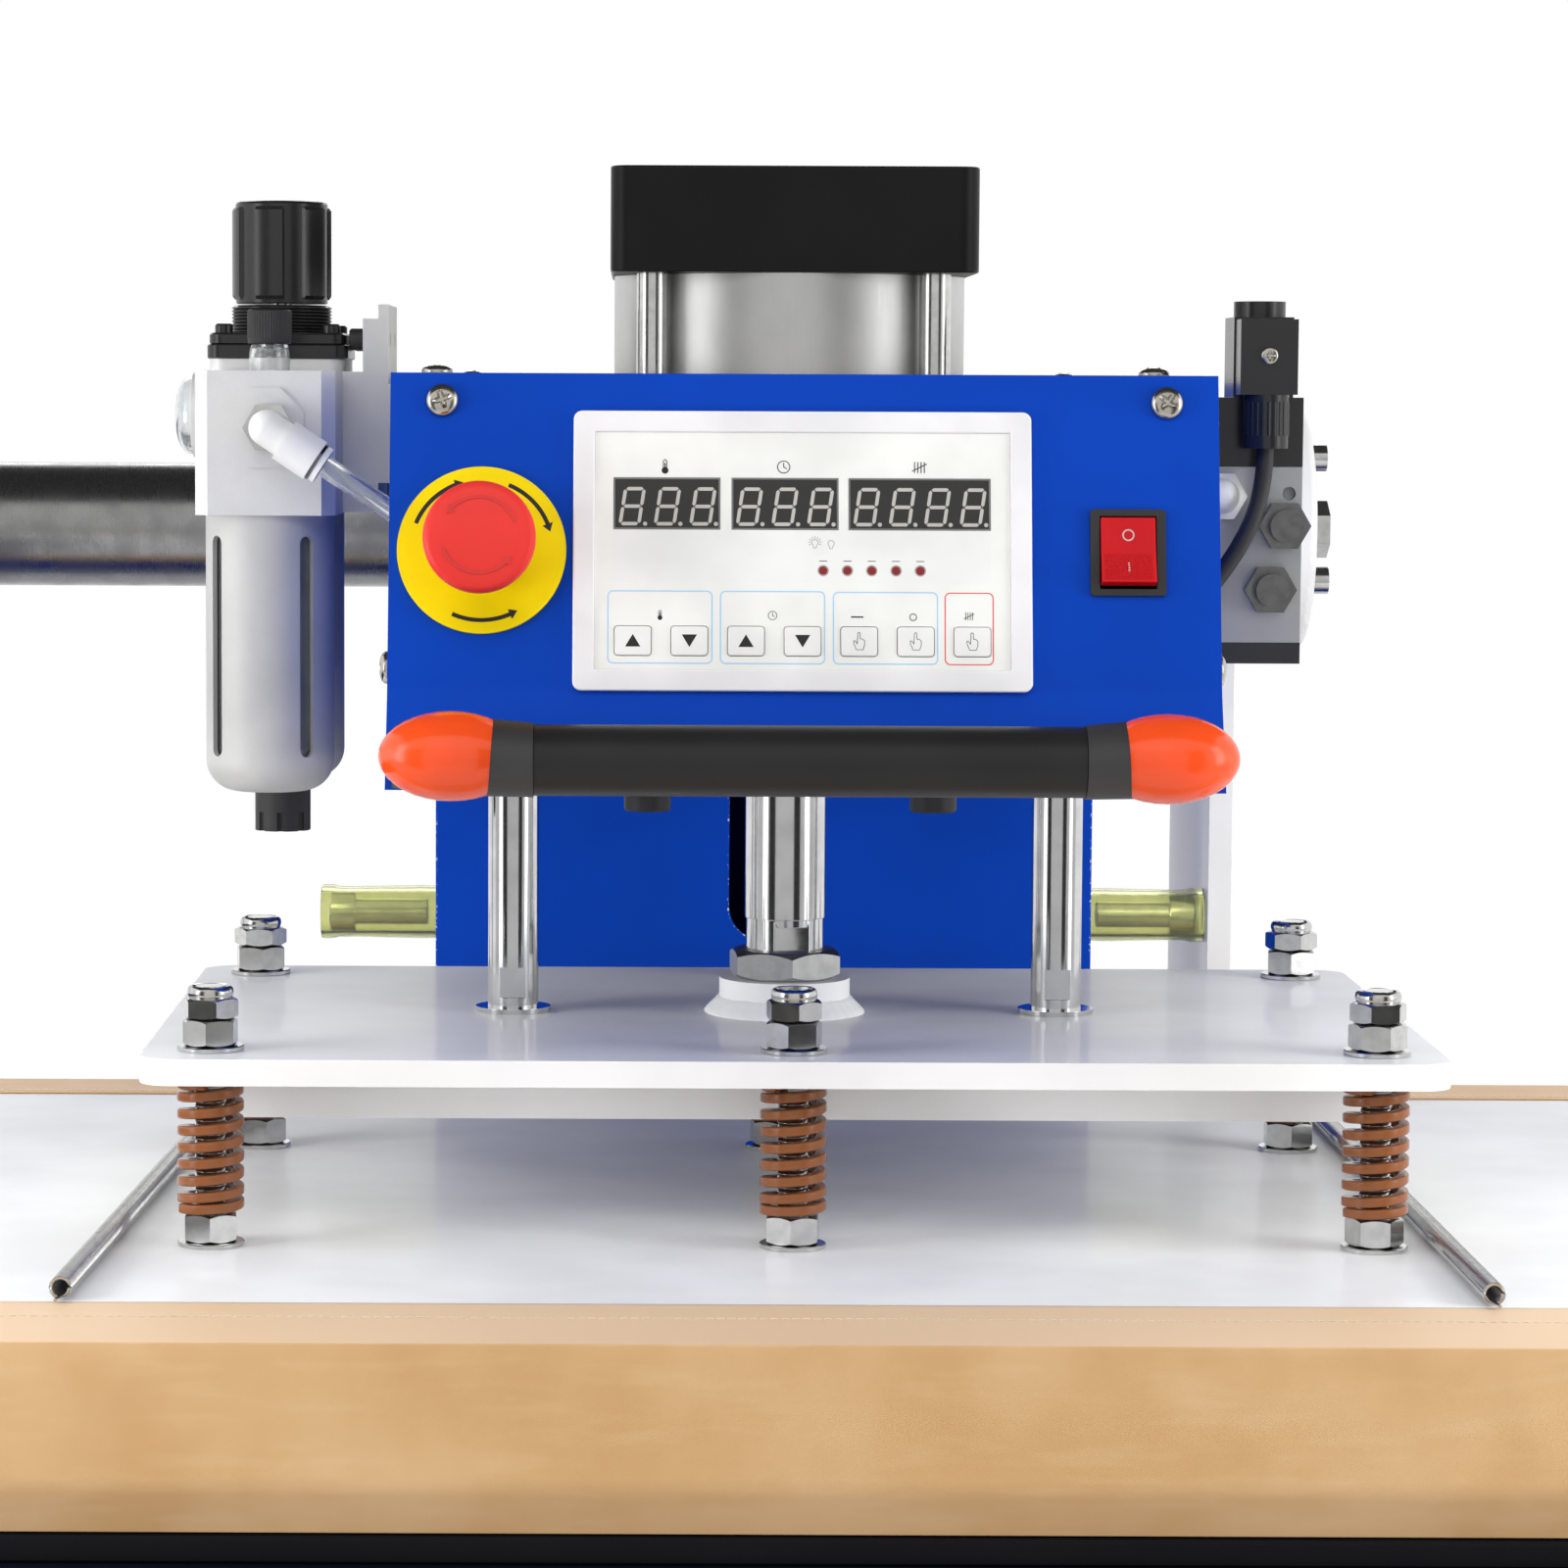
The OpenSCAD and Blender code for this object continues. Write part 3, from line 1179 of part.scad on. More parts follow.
module guide_rods() color("Silver") at_press() for (side = [-1, 1])
    translate([side * guide_span / 2, 0, plate_top]) difference() {
        union() {
            cylinder(h = foot_washer_t, d = foot_washer_d);
            cylinder(h = guide_len, d = guide_d);
        }
        translate([0, 0, foot_washer_t + guide_flat_z]) for (s = [0, 180]) rotate(s)
            translate([-guide_d, -guide_d, 0])
                cube([2 * guide_d, guide_d / 2 + guide_flat_cut, guide_flat_h]);
    }
module stud_holes(z, t) for (p = stud_places) translate([p[0], p[1], z - over])
    cylinder(h = t + 2 * over, d = stud_d + 2 * stud_hole_gap);
module pressure_plate() color("White") at_press() difference() {
    union() {
        translate([0, 0, plate_z]) linear_extrude(plate_t) rounded(plate_w, plate_d, plate_corner);
        translate([0, 0, plate_z - slab_t / 2]) cube([slab_w, slab_d, slab_t], center = true);
        translate([0, 0, plate_top]) cylinder(h = boss_h, d = boss_d);
        translate([0, 0, plate_top]) cylinder(h = weld_h, d1 = weld_d, d2 = boss_d);
    }
    stud_holes(plate_z, plate_t);
    translate([0, 0, plate_top + rod_seat]) cylinder(h = boss_h, d = rod_neck_d + 2 * fit);
}

// Platen
housing_low = platen_z + cover_t + housing_drop;
module platen_housing() color("White") at_press() difference() {
    block([-platen_w / 2, platen_w / 2, -platen_d / 2, platen_d / 2, housing_low, platen_top]);
    block([-platen_w / 2 + housing_t, platen_w / 2 - housing_t, -platen_d / 2 + housing_t,
        platen_d / 2 - housing_t,
        housing_low - over, platen_top - housing_t]);
    stud_holes(platen_top - housing_t, housing_t);
}
heater_z = platen_z + cover_t;
module heater_plate() color("Silver") at_press()
    block([-platen_w / 2 + heater_inset, platen_w / 2 - heater_inset,
    -platen_d / 2 + heater_inset, platen_d / 2 - heater_inset, heater_z, heater_z + heater_t]);
module cloth_cover() color("BurlyWood") at_press() along_x(platen_w - 2 * cover_side) {
    half = platen_d / 2;
    inset = half - heater_inset;
    polygon([[-half + front_hem, platen_top + hem_t], [-half - cover_t, platen_top + hem_t],
        [-half - cover_t, housing_low - cover_t], [-inset - cover_t, platen_z], [inset + cover_t, platen_z],
        [half + cover_t, housing_low - cover_t], [half + cover_t, platen_top + hem_t],
        [half - back_hem, platen_top + hem_t], [half - back_hem, platen_top], [half, platen_top],
        [half, housing_low], [inset, heater_z], [-inset, heater_z], [-half, housing_low],
        [-half, platen_top], [-half + front_hem, platen_top]]);
}
tension_from = -platen_d / 2 + front_hem + tension_hook;
tension_to = platen_d / 2 - back_hem - tension_hook;
module tension_springs() color("Silver") at_press() for (i = [0:len(tension_x) - 1])
    translate([tension_x[i], tension_from, platen_top]) rotate([-90, 0, tension_turn[i]]) {
        translate([0, -tension_gap - tension_d / 2, 0])
            cylinder(h = tension_to - tension_from, d = tension_d);
        translate([0, -hem_t - tension_gap - hook_wire_d / 2, -2 * tension_hook])
            cylinder(h = tension_to - tension_from + 4 * tension_hook, d = hook_wire_d);
    }
stud_top = plate_top + seat_gap + washer_t + nut_h + lock_gap + lock_h + stud_proud;
module float_studs() at_press() for (p = stud_places) translate([p[0], p[1], 0]) {
    color("Silver") translate([0, 0, heater_z + heater_t])
        cylinder(h = stud_top - heater_z - heater_t, d = stud_d);
    color("Silver") translate([0, 0, platen_top]) {
        washer(washer_d, washer_t, stud_d + 2 * fit);
        translate([0, 0, washer_t]) nut(nut_af, low_nut_h, stud_d + 2 * fit);
    }
    color("Silver") translate([0, 0, plate_top + seat_gap]) {
        washer(washer_d, washer_t, stud_d + 2 * fit);
        translate([0, 0, washer_t]) nut(nut_af, nut_h, stud_d + 2 * fit);
        translate([0, 0, washer_t + nut_h + lock_gap]) difference() {
            union() {
                hex(nut_af, lock_hex_h);
                cylinder(h = lock_h, d = lock_collar_d);
            }
            translate([0, 0, -over]) cylinder(h = lock_h + 2 * over, d = stud_d + 2 * fit);
        }
    }
}
module die_springs() color("SaddleBrown") at_press() for (p = stud_places)
    translate([p[0], p[1], platen_top + washer_t + low_nut_h + seat_gap])
        polyhedron(points = [for (i = [0:coil_rings]) each coil_ring(i)],
            faces = ring_faces(coil_rings + 1, len(wire_shares)));

base_frame();
levelling_feet();
lower_tables();
silicone_pads();
left_column();
right_column();
guide_shafts();
shaft_end_caps();
column_fasteners();
carriage_body();
shaft_bushes();
head_shell();
front_panel();
top_cover();
base_plate();
carriage_fasteners();
control_bezel();
control_overlay();
estop_ring();
switch_bezel();
handle_bar();
handle_brackets();
handle_caps();
cylinder_caps();
cylinder_barrel();
tie_rods();
air_bracket();
air_bodies();
bowl_guards();
filter_bowls();
pressure_gauge();
fittings();
air_hose();
valve_body();
valve_coil();
valve_cable();
bumper_sleeves();
estop_stem();
estop_mushroom();
power_rocker();
key_1();
key_2();
key_3();
key_4();
key_5();
key_6();
key_7();
regulator_knob();
regulator_spindle();
drip_cap();
filter_drain();
piston_rod();
guide_rods();
pressure_plate();
platen_housing();
heater_plate();
cloth_cover();
tension_springs();
float_studs();
die_springs();
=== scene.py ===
# %% [markdown]
# # A dual station heat press
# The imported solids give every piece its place. Here each one gets the finish it has in the workshop, and the pieces
# whose form a plain solid can't carry, such as springs, nuts, cloth and printed film, are made again in finer form.

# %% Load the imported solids
import json
import math

import bmesh
import bpy
from mathutils import Matrix, Vector, noise


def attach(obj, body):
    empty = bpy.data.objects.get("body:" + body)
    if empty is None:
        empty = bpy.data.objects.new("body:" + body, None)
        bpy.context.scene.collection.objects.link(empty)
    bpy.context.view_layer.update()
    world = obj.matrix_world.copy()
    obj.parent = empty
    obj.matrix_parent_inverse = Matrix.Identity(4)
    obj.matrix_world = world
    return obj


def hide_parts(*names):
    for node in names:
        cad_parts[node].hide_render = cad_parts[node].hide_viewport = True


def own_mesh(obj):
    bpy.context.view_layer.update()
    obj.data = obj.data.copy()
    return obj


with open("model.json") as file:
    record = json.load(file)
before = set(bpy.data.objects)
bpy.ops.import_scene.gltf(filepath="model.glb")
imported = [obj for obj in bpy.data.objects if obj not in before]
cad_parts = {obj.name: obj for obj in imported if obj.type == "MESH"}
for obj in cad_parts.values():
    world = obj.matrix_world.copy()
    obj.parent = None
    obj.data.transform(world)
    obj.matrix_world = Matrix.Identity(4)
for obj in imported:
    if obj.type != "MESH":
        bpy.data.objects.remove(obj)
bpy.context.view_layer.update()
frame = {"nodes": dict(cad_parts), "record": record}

# %% [markdown]
# ## Where things are
# All lengths below are in millimetres, counted from the axis of the press cylinder, because that is how the machine is
# set out. One matrix turns them into metres in the model's own frame. The leaning front panel gets a frame of its own:
# X to the right, Y up along the panel, Z out of it. RESTS is the hair's breadth between a screw's head and its sheet.

# %% Sizes and frames
MM = 0.001
HERE = Matrix.Scale(MM, 4)
PRESS = Matrix.Translation((0.42, -0.092, 0)) @ HERE
FLOOR, TOP = 1076.0, 1222.0
HEAD_FRONT, LEAN = 175.0, math.radians(12)
HEAD_HALF, RESTS = 147.5, 0.02
PLATE_LOW, PLATE_TOP = 960.0, 970.0
PLATEN_LOW, PLATEN_TOP = 830.3, 896.3
ROW_DOWN, CONTROL_X, STOP_X, ROCKER_X = 64.3, -0.8, -114.5, 114.6


def shift(x=0.0, y=0.0, z=0.0):
    return Matrix.Translation((x, y, z))


def turn(degrees, axis):
    return Matrix.Rotation(math.radians(degrees), 4, axis)


def on_panel(x, down, out=0.0):
    """A frame on the front panel, that far down it from the top edge."""
    edge = shift(x, -HEAD_FRONT - down * math.sin(LEAN), TOP - down * math.cos(LEAN))
    return PRESS @ edge @ Matrix.Rotation(math.pi / 2 - LEAN, 4, "X") @ shift(z=out)


print("press axis at", PRESS @ Vector((0, 0, 0)))

# %% [markdown]
# ## The camera
# The view is nearly level and straight on, a little above the work. The lens is long, so that the front edges of the
# plate and the platen hardly spread. A small sideways shift keeps the camera square to the machine while the head sits
# right of the lens's own axis.

# %% Camera
EYE = Vector((0.3609, -1.9217, 1.2130))
PITCH, ROLL, FOCUS, FRAME_SIDE, AXIS_X = math.radians(4.761), 0.0044, 4720.0, 1600.0, 649.9

ahead = Vector((0, math.cos(PITCH), -math.sin(PITCH)))
right, above = Vector((1, 0, 0)), Vector((1, 0, 0)).cross(ahead)
rolled_right = math.cos(ROLL) * right + math.sin(ROLL) * above
rolled_up = math.cos(ROLL) * above - math.sin(ROLL) * right
pose = Matrix((rolled_right, rolled_up, -ahead)).transposed().to_4x4()
pose.translation = EYE
lens = bpy.data.cameras.new("eye")
lens.sensor_width = 36
lens.lens = lens.sensor_width * FOCUS / FRAME_SIDE
lens.shift_x = (FRAME_SIDE / 2 - AXIS_X) / FRAME_SIDE
camera = bpy.data.objects.new("eye", lens)
camera.matrix_world = pose
bpy.context.collection.objects.link(camera)
bpy.context.scene.camera = camera
bpy.context.scene.view_settings.view_transform = "Standard"
print("lens", round(lens.lens, 1), "mm, shift", round(lens.shift_x, 4))

# %% [markdown]
# ## Writing finishes as sums
# A finish is mostly small sums on noise: a share of this colour, a little less gloss there. Wire wraps one socket so
# that such a sum can be written as an ordinary expression, and Paint adds any other node through one method.

# %% Wire and Paint
def feed(tree, socket, value):
    if isinstance(value, Wire):
        tree.links.new(value.socket, socket)
    else:
        socket.default_value = value


class Wire:
    """A value on its way through a node tree."""

    def __init__(self, tree, socket):
        self.tree, self.socket = tree, socket

    def maths(self, operation, *values):
        node = self.tree.nodes.new("ShaderNodeMath")
        node.operation = operation
        for socket, value in zip(node.inputs, values):
            feed(self.tree, socket, value)
        return Wire(self.tree, node.outputs[0])

    def __add__(self, other):
        return self.maths("ADD", self, other)

    def __sub__(self, other):
        return self.maths("SUBTRACT", self, other)

    def __rsub__(self, other):
        return self.maths("SUBTRACT", other, self)

    def __mul__(self, other):
        return self.maths("MULTIPLY", self, other)

    __radd__, __rmul__ = __add__, __mul__

    def sine(self):
        return self.maths("SINE", self)

    def larger(self, other):
        return self.maths("MAXIMUM", self, other)

    def between(self, low, high):
        """0 below low, 1 above high, smooth in between."""
        node = self.tree.nodes.new("ShaderNodeMapRange")
        node.interpolation_type = "SMOOTHSTEP"
        for name, value in (("Value", self), ("From Min", low), ("From Max", high)):
            feed(self.tree, node.inputs[name], value)
        return Wire(self.tree, node.outputs["Result"])


class Paint:
    """A finish under way: a Principled shader, and the nodes that feed it."""

    def __init__(self, name, **plain):
        self.material = bpy.data.materials.new(name)
        self.material.use_nodes = True
        self.tree = self.material.node_tree
        self.shader = self.tree.nodes["Principled BSDF"]
        for socket, value in plain.items():
            self.shader.inputs[socket.replace("_", " ")].default_value = value
        self.spot = self.node("TexCoord", out="Object")

    def node(self, kind, settings=None, sockets=None, out=0):
        node = self.tree.nodes.new("ShaderNode" + kind)
        for name, value in (settings or {}).items():
            setattr(node, name, value)
        for name, value in (sockets or {}).items():
            feed(self.tree, node.inputs[name], value)
        return Wire(self.tree, node.outputs[out])

    def grain(self, size, detail=2.0, stretch=(1, 1, 1)):
        """Noise whose features are about that many millimetres, longer along the stretched axes."""
        scale = [1000 / size / s for s in stretch]
        mapped = self.node("Mapping", {}, {"Vector": self.spot, "Scale": scale})
        return self.node("TexNoise", {}, {"Vector": mapped, "Scale": 1.0, "Detail": detail})

    def mix(self, share, one, other):
        return self.node("Mix", {"data_type": "RGBA"}, {0: share, 6: one, 7: other}, out=2)

    def edge_wear_and_highlight(self):
        """1 on the narrow faces that break an edge, 0 elsewhere."""
        return self.node("Attribute", {"attribute_name": "edge_wear_and_highlight"}, out="Fac")

    def bump(self, height, depth):
        """Relief of that depth in millimetres."""
        return self.node("Bump", {}, {"Height": height, "Distance": depth * MM, "Strength": 1.0})

    def done(self, **links):
        for socket, value in links.items():
            feed(self.tree, self.shader.inputs[socket.replace("_", " ")], value)
        return self.material


def grey(level):
    return (level, level, level, 1)


def ink(red, green, blue):
    """A colour as a screen shows it, 0 to 255, turned into light."""
    def light(c):
        c /= 255
        return c / 12.92 if c <= 0.04045 else ((c + 0.055) / 1.055) ** 2.4
    return (light(red), light(green), light(blue), 1)


def shade(colour, times):
    return tuple(min(1.0, c * times) for c in colour[:3]) + (1,)

# %% [markdown]
# ## Finishes by family
# Most of the machine is one of five things: enamel or powder coat on sheet steel, bright plated steel, matt cast or
# drawn aluminium, moulded plastic, and clear plastic. Each family is a function, so that two finishes differ only in
# the numbers that differ on the real thing. Every family varies its colour and gloss a little over the surface and has
# a fine relief at the real scale; most paint their broken edges paler, partly as wear and partly as a painted
# highlight.

# %% Families of finish
def enamel(name, colour, rough=0.3, peel=1.6, depth=0.012, chips=None, coat=0.0, **plain):
    """Paint: a slow drift of tone, orange peel, a painted highlight on the edges and chips where the sheet was cut."""
    p = Paint(name, Coat_Roughness=0.08, **plain)
    drift, skin = p.grain(90, 3), p.grain(peel, 2)
    speck = p.grain(0.5, 2)
    tone = p.mix(drift.between(0.3, 0.7), shade(colour, 0.93), shade(colour, 1.05))
    # Painted highlight: the edge faces are mixed halfway to a paler tone in noisy patches; the chips below are real
    # wear.
    edge = p.edge_wear_and_highlight() * p.grain(3, 3).between(0.35, 0.62)
    tone = p.mix(edge * 0.5, tone, shade(colour, 1.5))
    if chips:
        chip = p.edge_wear_and_highlight() * p.grain(1.2, 4).between(0.6, 0.64)
        tone = p.mix(chip, tone, chips)
    relief = p.bump(skin + speck * 0.2, depth)
    return p.done(Base_Color=tone, Roughness=rough + (drift - 0.5) * 0.12 + (speck - 0.5) * 0.08,
                  Coat_Weight=coat + (skin - 0.5) * 0.05, Normal=relief)


def bright(name, colour, rough=0.12, smear=14.0, scratch=(1, 1, 1)):
    """Plated steel: hand marks dull it in patches, fine scratches run one way, and the edges shine."""
    p = Paint(name, Metallic=1.0)
    patch, lines = p.grain(smear, 4), p.grain(0.35, 2, scratch)
    tone = p.mix(patch.between(0.3, 0.75), colour, shade(colour, 0.82))
    # Painted highlight: the edge faces are mixed towards a paler tone.
    tone = p.mix(p.edge_wear_and_highlight() * 0.35, tone, shade(colour, 1.25))
    gloss = rough + (patch - 0.4) * rough * 0.9 + (lines - 0.5) * rough * 0.5
    return p.done(Base_Color=tone, Roughness=gloss.larger(0.03), Normal=p.bump(lines, 0.002))


def matt_metal(name, colour, rough=0.42, grit=0.45, stretch=(1, 1, 1), depth=0.02, metal=0.85):
    """Cast, blasted or drawn aluminium: grit or draw lines, cloudy tone, and edges paler as bare metal and as a painted
    highlight.
    """
    p = Paint(name, Metallic=metal)
    cloud, lines = p.grain(35, 4), p.grain(grit, 3, stretch)
    tone = p.mix(cloud.between(0.25, 0.75), shade(colour, 0.9), shade(colour, 1.07))
    tone = p.mix(lines * 0.25, tone, shade(colour, 0.7))
    # Painted highlight: the edge faces are mixed towards a paler tone, partly standing for bare metal where an edge was
    # broken.
    tone = p.mix(p.edge_wear_and_highlight() * 0.5, tone, shade(colour, 1.3))
    return p.done(Base_Color=tone, Roughness=rough + (lines - 0.5) * 0.2 - p.edge_wear_and_highlight() * 0.12,
                  Normal=p.bump(lines, depth))


def moulded(name, colour, rough=0.45, grit=0.6, depth=0.012, rub=1.6, **plain):
    """Plastic or rubber: a spark-eroded grain, faint flow marks, and edges painted paler, partly rubbed and partly a
    painted highlight.
    """
    p = Paint(name, **plain)
    flow, grain = p.grain(40, 3), p.grain(grit, 3)
    tone = p.mix(flow.between(0.3, 0.7), shade(colour, 0.92), shade(colour, 1.06))
    # Painted highlight: the edge faces are mixed towards a paler tone, partly standing for rubbed edges.
    tone = p.mix(p.edge_wear_and_highlight() * 0.4, tone, shade(colour, rub))
    return p.done(Base_Color=tone, Roughness=rough + (grain - 0.5) * 0.14 + (flow - 0.5) * 0.08,
                  Normal=p.bump(grain, depth))


def clear(name, colour, rough=0.06, through=0.92):
    """Clear plastic: tinted, a little cloudy, with moulding lines."""
    p = Paint(name, Transmission_Weight=through, IOR=1.5)
    cloud, swirl = p.grain(9, 3), p.grain(1.5, 2)
    tone = p.mix(cloud.between(0.3, 0.7), colour, shade(colour, 0.93))
    return p.done(Base_Color=tone, Roughness=rough + cloud * 0.06, Alpha=1.0 - (cloud - 0.5) * 0.06,
                  Normal=p.bump(swirl, 0.01))

# %% The machine's own finishes
BLUE = (0.004, 0.052, 0.43, 1)
DULL = {"Specular_IOR_Level": 0.04}
FINISH = {}


def finishes(family, rows):
    """Adds finishes of one family, each as its colour and what differs from the family's usual numbers."""
    for name, (colour, more) in rows.items():
        FINISH[name] = family(name, colour, **more)


finishes(enamel, {
    "head_blue": (BLUE, dict(DULL, rough=0.36, depth=0.02, chips=(0.75, 0.78, 0.72, 1))),
    "frame_blue": (shade(BLUE, 0.85), dict(DULL, rough=0.4, depth=0.02, chips=(0.4, 0.42, 0.42, 1))),
    # Painted shade: the lower tables' blue is darkened nearly to black, the tone of their shadowed front edge.
    "table_blue": ((0.004, 0.005, 0.012, 1), dict(rough=0.5, depth=0.02, Specular_IOR_Level=0.1)),
    "column_white": ((0.78, 0.78, 0.775, 1), {}),
    "cover_cream": ((0.62, 0.6, 0.52, 1), dict(rough=0.34, chips=(0.3, 0.29, 0.25, 1))),
    "plate_white": (grey(0.84), dict(rough=0.34, peel=4.0, coat=0.2, Specular_IOR_Level=0.01)),
    "platen_white": ((0.85, 0.855, 0.86, 1), dict(rough=0.36, peel=5.0, coat=0.14, Specular_IOR_Level=0.01)),
    "black_plate": ((0.02, 0.02, 0.022, 1), dict(rough=0.4)),
    "spring_brown": ((0.23, 0.075, 0.022, 1), dict(rough=0.22, peel=2.5, chips=(0.5, 0.42, 0.33, 1))),
})
finishes(matt_metal, {
    "cap_dark": ((0.018, 0.018, 0.019, 1), dict(grit=0.3, stretch=(4, 4, 1))),
    "barrel_grey": (grey(0.62), dict(rough=0.36, grit=0.25, stretch=(1, 1, 60), depth=0.006)),
    "bronze": ((0.45, 0.3, 0.1, 1), dict(rough=0.3, stretch=(1, 40, 40))),
    "heater": (grey(0.45), dict(rough=0.35, stretch=(40, 1, 1))),
    "unit_alu": (grey(0.68), dict(grit=0.6, depth=0.03, metal=0.3)),
    "guard_alu": ((0.46, 0.46, 0.455, 1), dict(rough=0.46, grit=0.5, metal=0.12)),
    "valve_alu": ((0.52, 0.525, 0.525, 1), dict(rough=0.5, grit=0.35)),
})
finishes(bright, {
    "shaft_steel": ((0.4, 0.4, 0.395, 1), dict(rough=0.26, scratch=(1, 60, 60))),
    "rod_chrome": (grey(0.72), dict(rough=0.11, scratch=(50, 50, 1))),
    "zinc": ((0.7, 0.7, 0.69, 1), dict(rough=0.16, smear=5)),
    "nickel": ((0.66, 0.63, 0.56, 1), dict(rough=0.2, smear=4)),
    "spring_wire": ((0.66, 0.66, 0.65, 1), dict(rough=0.16, smear=3)),
    "nut_steel": ((0.6, 0.6, 0.59, 1), dict(rough=0.3, smear=6)),
    "plug_steel": (grey(0.2), dict(rough=0.22, smear=4)),
})
finishes(moulded, {
    "black_matt": ((0.022, 0.022, 0.023, 1), dict(rough=0.5)),
    "black_gloss": ((0.014, 0.014, 0.015, 1), dict(rough=0.24, depth=0.004)),
    "bar_black": (grey(0.016), dict(rough=0.38, depth=0.008, Specular_IOR_Level=0.3)),
    "bracket_black": ((0.032, 0.032, 0.033, 1), dict(rough=0.5, grit=0.8, depth=0.02)),
    "white_moulded": ((0.74, 0.74, 0.73, 1), dict(rough=0.3, rub=1.05, depth=0.004)),
    "bezel_white": ((0.8, 0.79, 0.81, 1), dict(rough=0.22, rub=1.05, depth=0.004)),
    "film_white": ((0.83, 0.83, 0.8, 1), dict(rough=0.42, rub=1.0, grit=0.25, depth=0.004)),
    "key_white": ((0.8, 0.8, 0.78, 1), dict(rough=0.4, rub=1.0, grit=0.25, depth=0.004)),
    "ring_yellow": (ink(240, 216, 8), dict(rough=0.4, rub=1.05, Specular_IOR_Level=0.1)),
    "mushroom_red": (ink(226, 52, 46), dict(rough=0.34, rub=1.1, depth=0.004, Specular_IOR_Level=0.3)),
    "mushroom_dark": (ink(206, 44, 40), dict(rough=0.4, rub=1.0, depth=0.004)),
    "stem_red": (ink(160, 24, 22), dict(rough=0.4, rub=1.1)),
    "rocker_red": (ink(196, 18, 26), dict(rough=0.16, grit=1.5, depth=0.003, rub=1.2, Specular_IOR_Level=0.2,
                                          Subsurface_Weight=0.15, Subsurface_Scale=0.002)),
    "cap_orange": (ink(236, 76, 22), dict(rough=0.2, rub=1.1, depth=0.003, Coat_Weight=0.3)),
    "silicone": ((0.006, 0.006, 0.008, 1), dict(rough=0.62, grit=0.9, depth=0.06, rub=1.4,
                                                Specular_IOR_Level=0.1)),
    "thread": ((0.72, 0.66, 0.56, 1), dict(rough=0.6, rub=1.0)),
    "dial_white": ((0.8, 0.8, 0.78, 1), dict(rough=0.5, rub=1.0)),
})
finishes(clear, {
    "clear_bowl": ((0.86, 0.88, 0.88, 1), {}),
    "clear_dome": ((0.92, 0.94, 0.95, 1), dict(rough=0.02)),
    "clear_hose": ((0.9, 0.92, 0.93, 1), dict(rough=0.05)),
    "urethane": ((0.86, 0.88, 0.5, 1), dict(rough=0.1, through=0.88)),
})
print("finishes:", len(FINISH))

# %% [markdown]
# ## Shaping pieces
# Two ways of making a piece cover nearly everything. A solid whose form is right is copied, its loose triangles are
# merged, its sharp edges are broken with a bevel, and it gets its finish. A piece that needs finer form is built from
# stacked rings: a ring may be a circle, a hexagon or a lobed knob, and a stack of them is closed at both ends.

# %% A finished piece
def finish_mesh(bm, name, body, slot, finishes, bevel=0.0, replaces=(), smooth=32.0, segments=2, wide=None):
    """Breaks the edges, and makes the finished piece. wide gives the edges that are bent, not cut, their radius."""
    edge_wear_and_highlight = bm.faces.layers.float.new("edge_wear_and_highlight")
    if wide:
        for width in sorted({wide(e) for e in bm.edges} - {0}, reverse=True):
            edges = [e for e in bm.edges if e.is_manifold and e.calc_face_angle(0) > 0.1 and wide(e) == width]
            bmesh.ops.bevel(bm, geom=edges, offset=width * MM, segments=6, profile=0.5, affect="EDGES")
    if bevel:
        limit = math.radians(28)
        edges = [e for e in bm.edges if e.is_manifold and e.calc_face_angle(0) > limit]
        made = bmesh.ops.bevel(bm, geom=edges, offset=bevel * MM, offset_type="OFFSET", segments=segments,
                               profile=0.6, affect="EDGES", clamp_overlap=True, material=-1)
        # The bevel's own faces carry the edge mask; the finishes paint them paler, partly as wear and partly as a
        # painted highlight.
        for face in made["faces"]:
            face[edge_wear_and_highlight] = 1.0
    mesh = bpy.data.meshes.new(name)
    bm.to_mesh(mesh)
    bm.free()
    for finish in finishes:
        mesh.materials.append(FINISH[finish])
    mesh.shade_smooth()
    mesh.set_sharp_from_angle(angle=math.radians(smooth))
    piece = bpy.data.objects.new(name, mesh)
    bpy.context.collection.objects.link(piece)
    even = piece.modifiers.new("large faces stay flat", "WEIGHTED_NORMAL")
    even.keep_sharp = True
    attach(piece, body)
    if replaces:
        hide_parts(*replaces)
    return piece

# %% Copies of the solids
def islands(bm):
    """The separate solids in a mesh, each as its faces."""
    left, found = set(bm.faces), []
    while left:
        todo, one = [left.pop()], []
        while todo:
            face = todo.pop()
            one.append(face)
            for edge in face.edges:
                for near in edge.link_faces:
                    if near in left:
                        left.remove(near)
                        todo.append(near)
        found.append(one)
    return found


def span(faces):
    """Middle and size of some faces, in millimetres from the press axis."""
    spots = [v.co for f in faces for v in f.verts]
    low = Vector(min(p[i] for p in spots) for i in range(3))
    high = Vector(max(p[i] for p in spots) for i in range(3))
    back = PRESS.inverted()
    return back @ ((low + high) / 2), (high - low) / MM


def cad_copy(node):
    """A solid with its triangles merged into whole faces."""
    bm = bmesh.new()
    bm.from_mesh(frame["nodes"][node].data)
    bmesh.ops.remove_doubles(bm, verts=bm.verts, dist=2e-6)
    bmesh.ops.dissolve_limit(bm, angle_limit=math.radians(0.5), verts=bm.verts, edges=bm.edges)
    return bm


BODY_OF = {node: body for body, nodes in frame["record"]["behaviour"]["bodies"].items() for node in nodes}
SLOT_OF = {part["node"]: part["material_slot"] for part in frame["record"]["subparts"]}


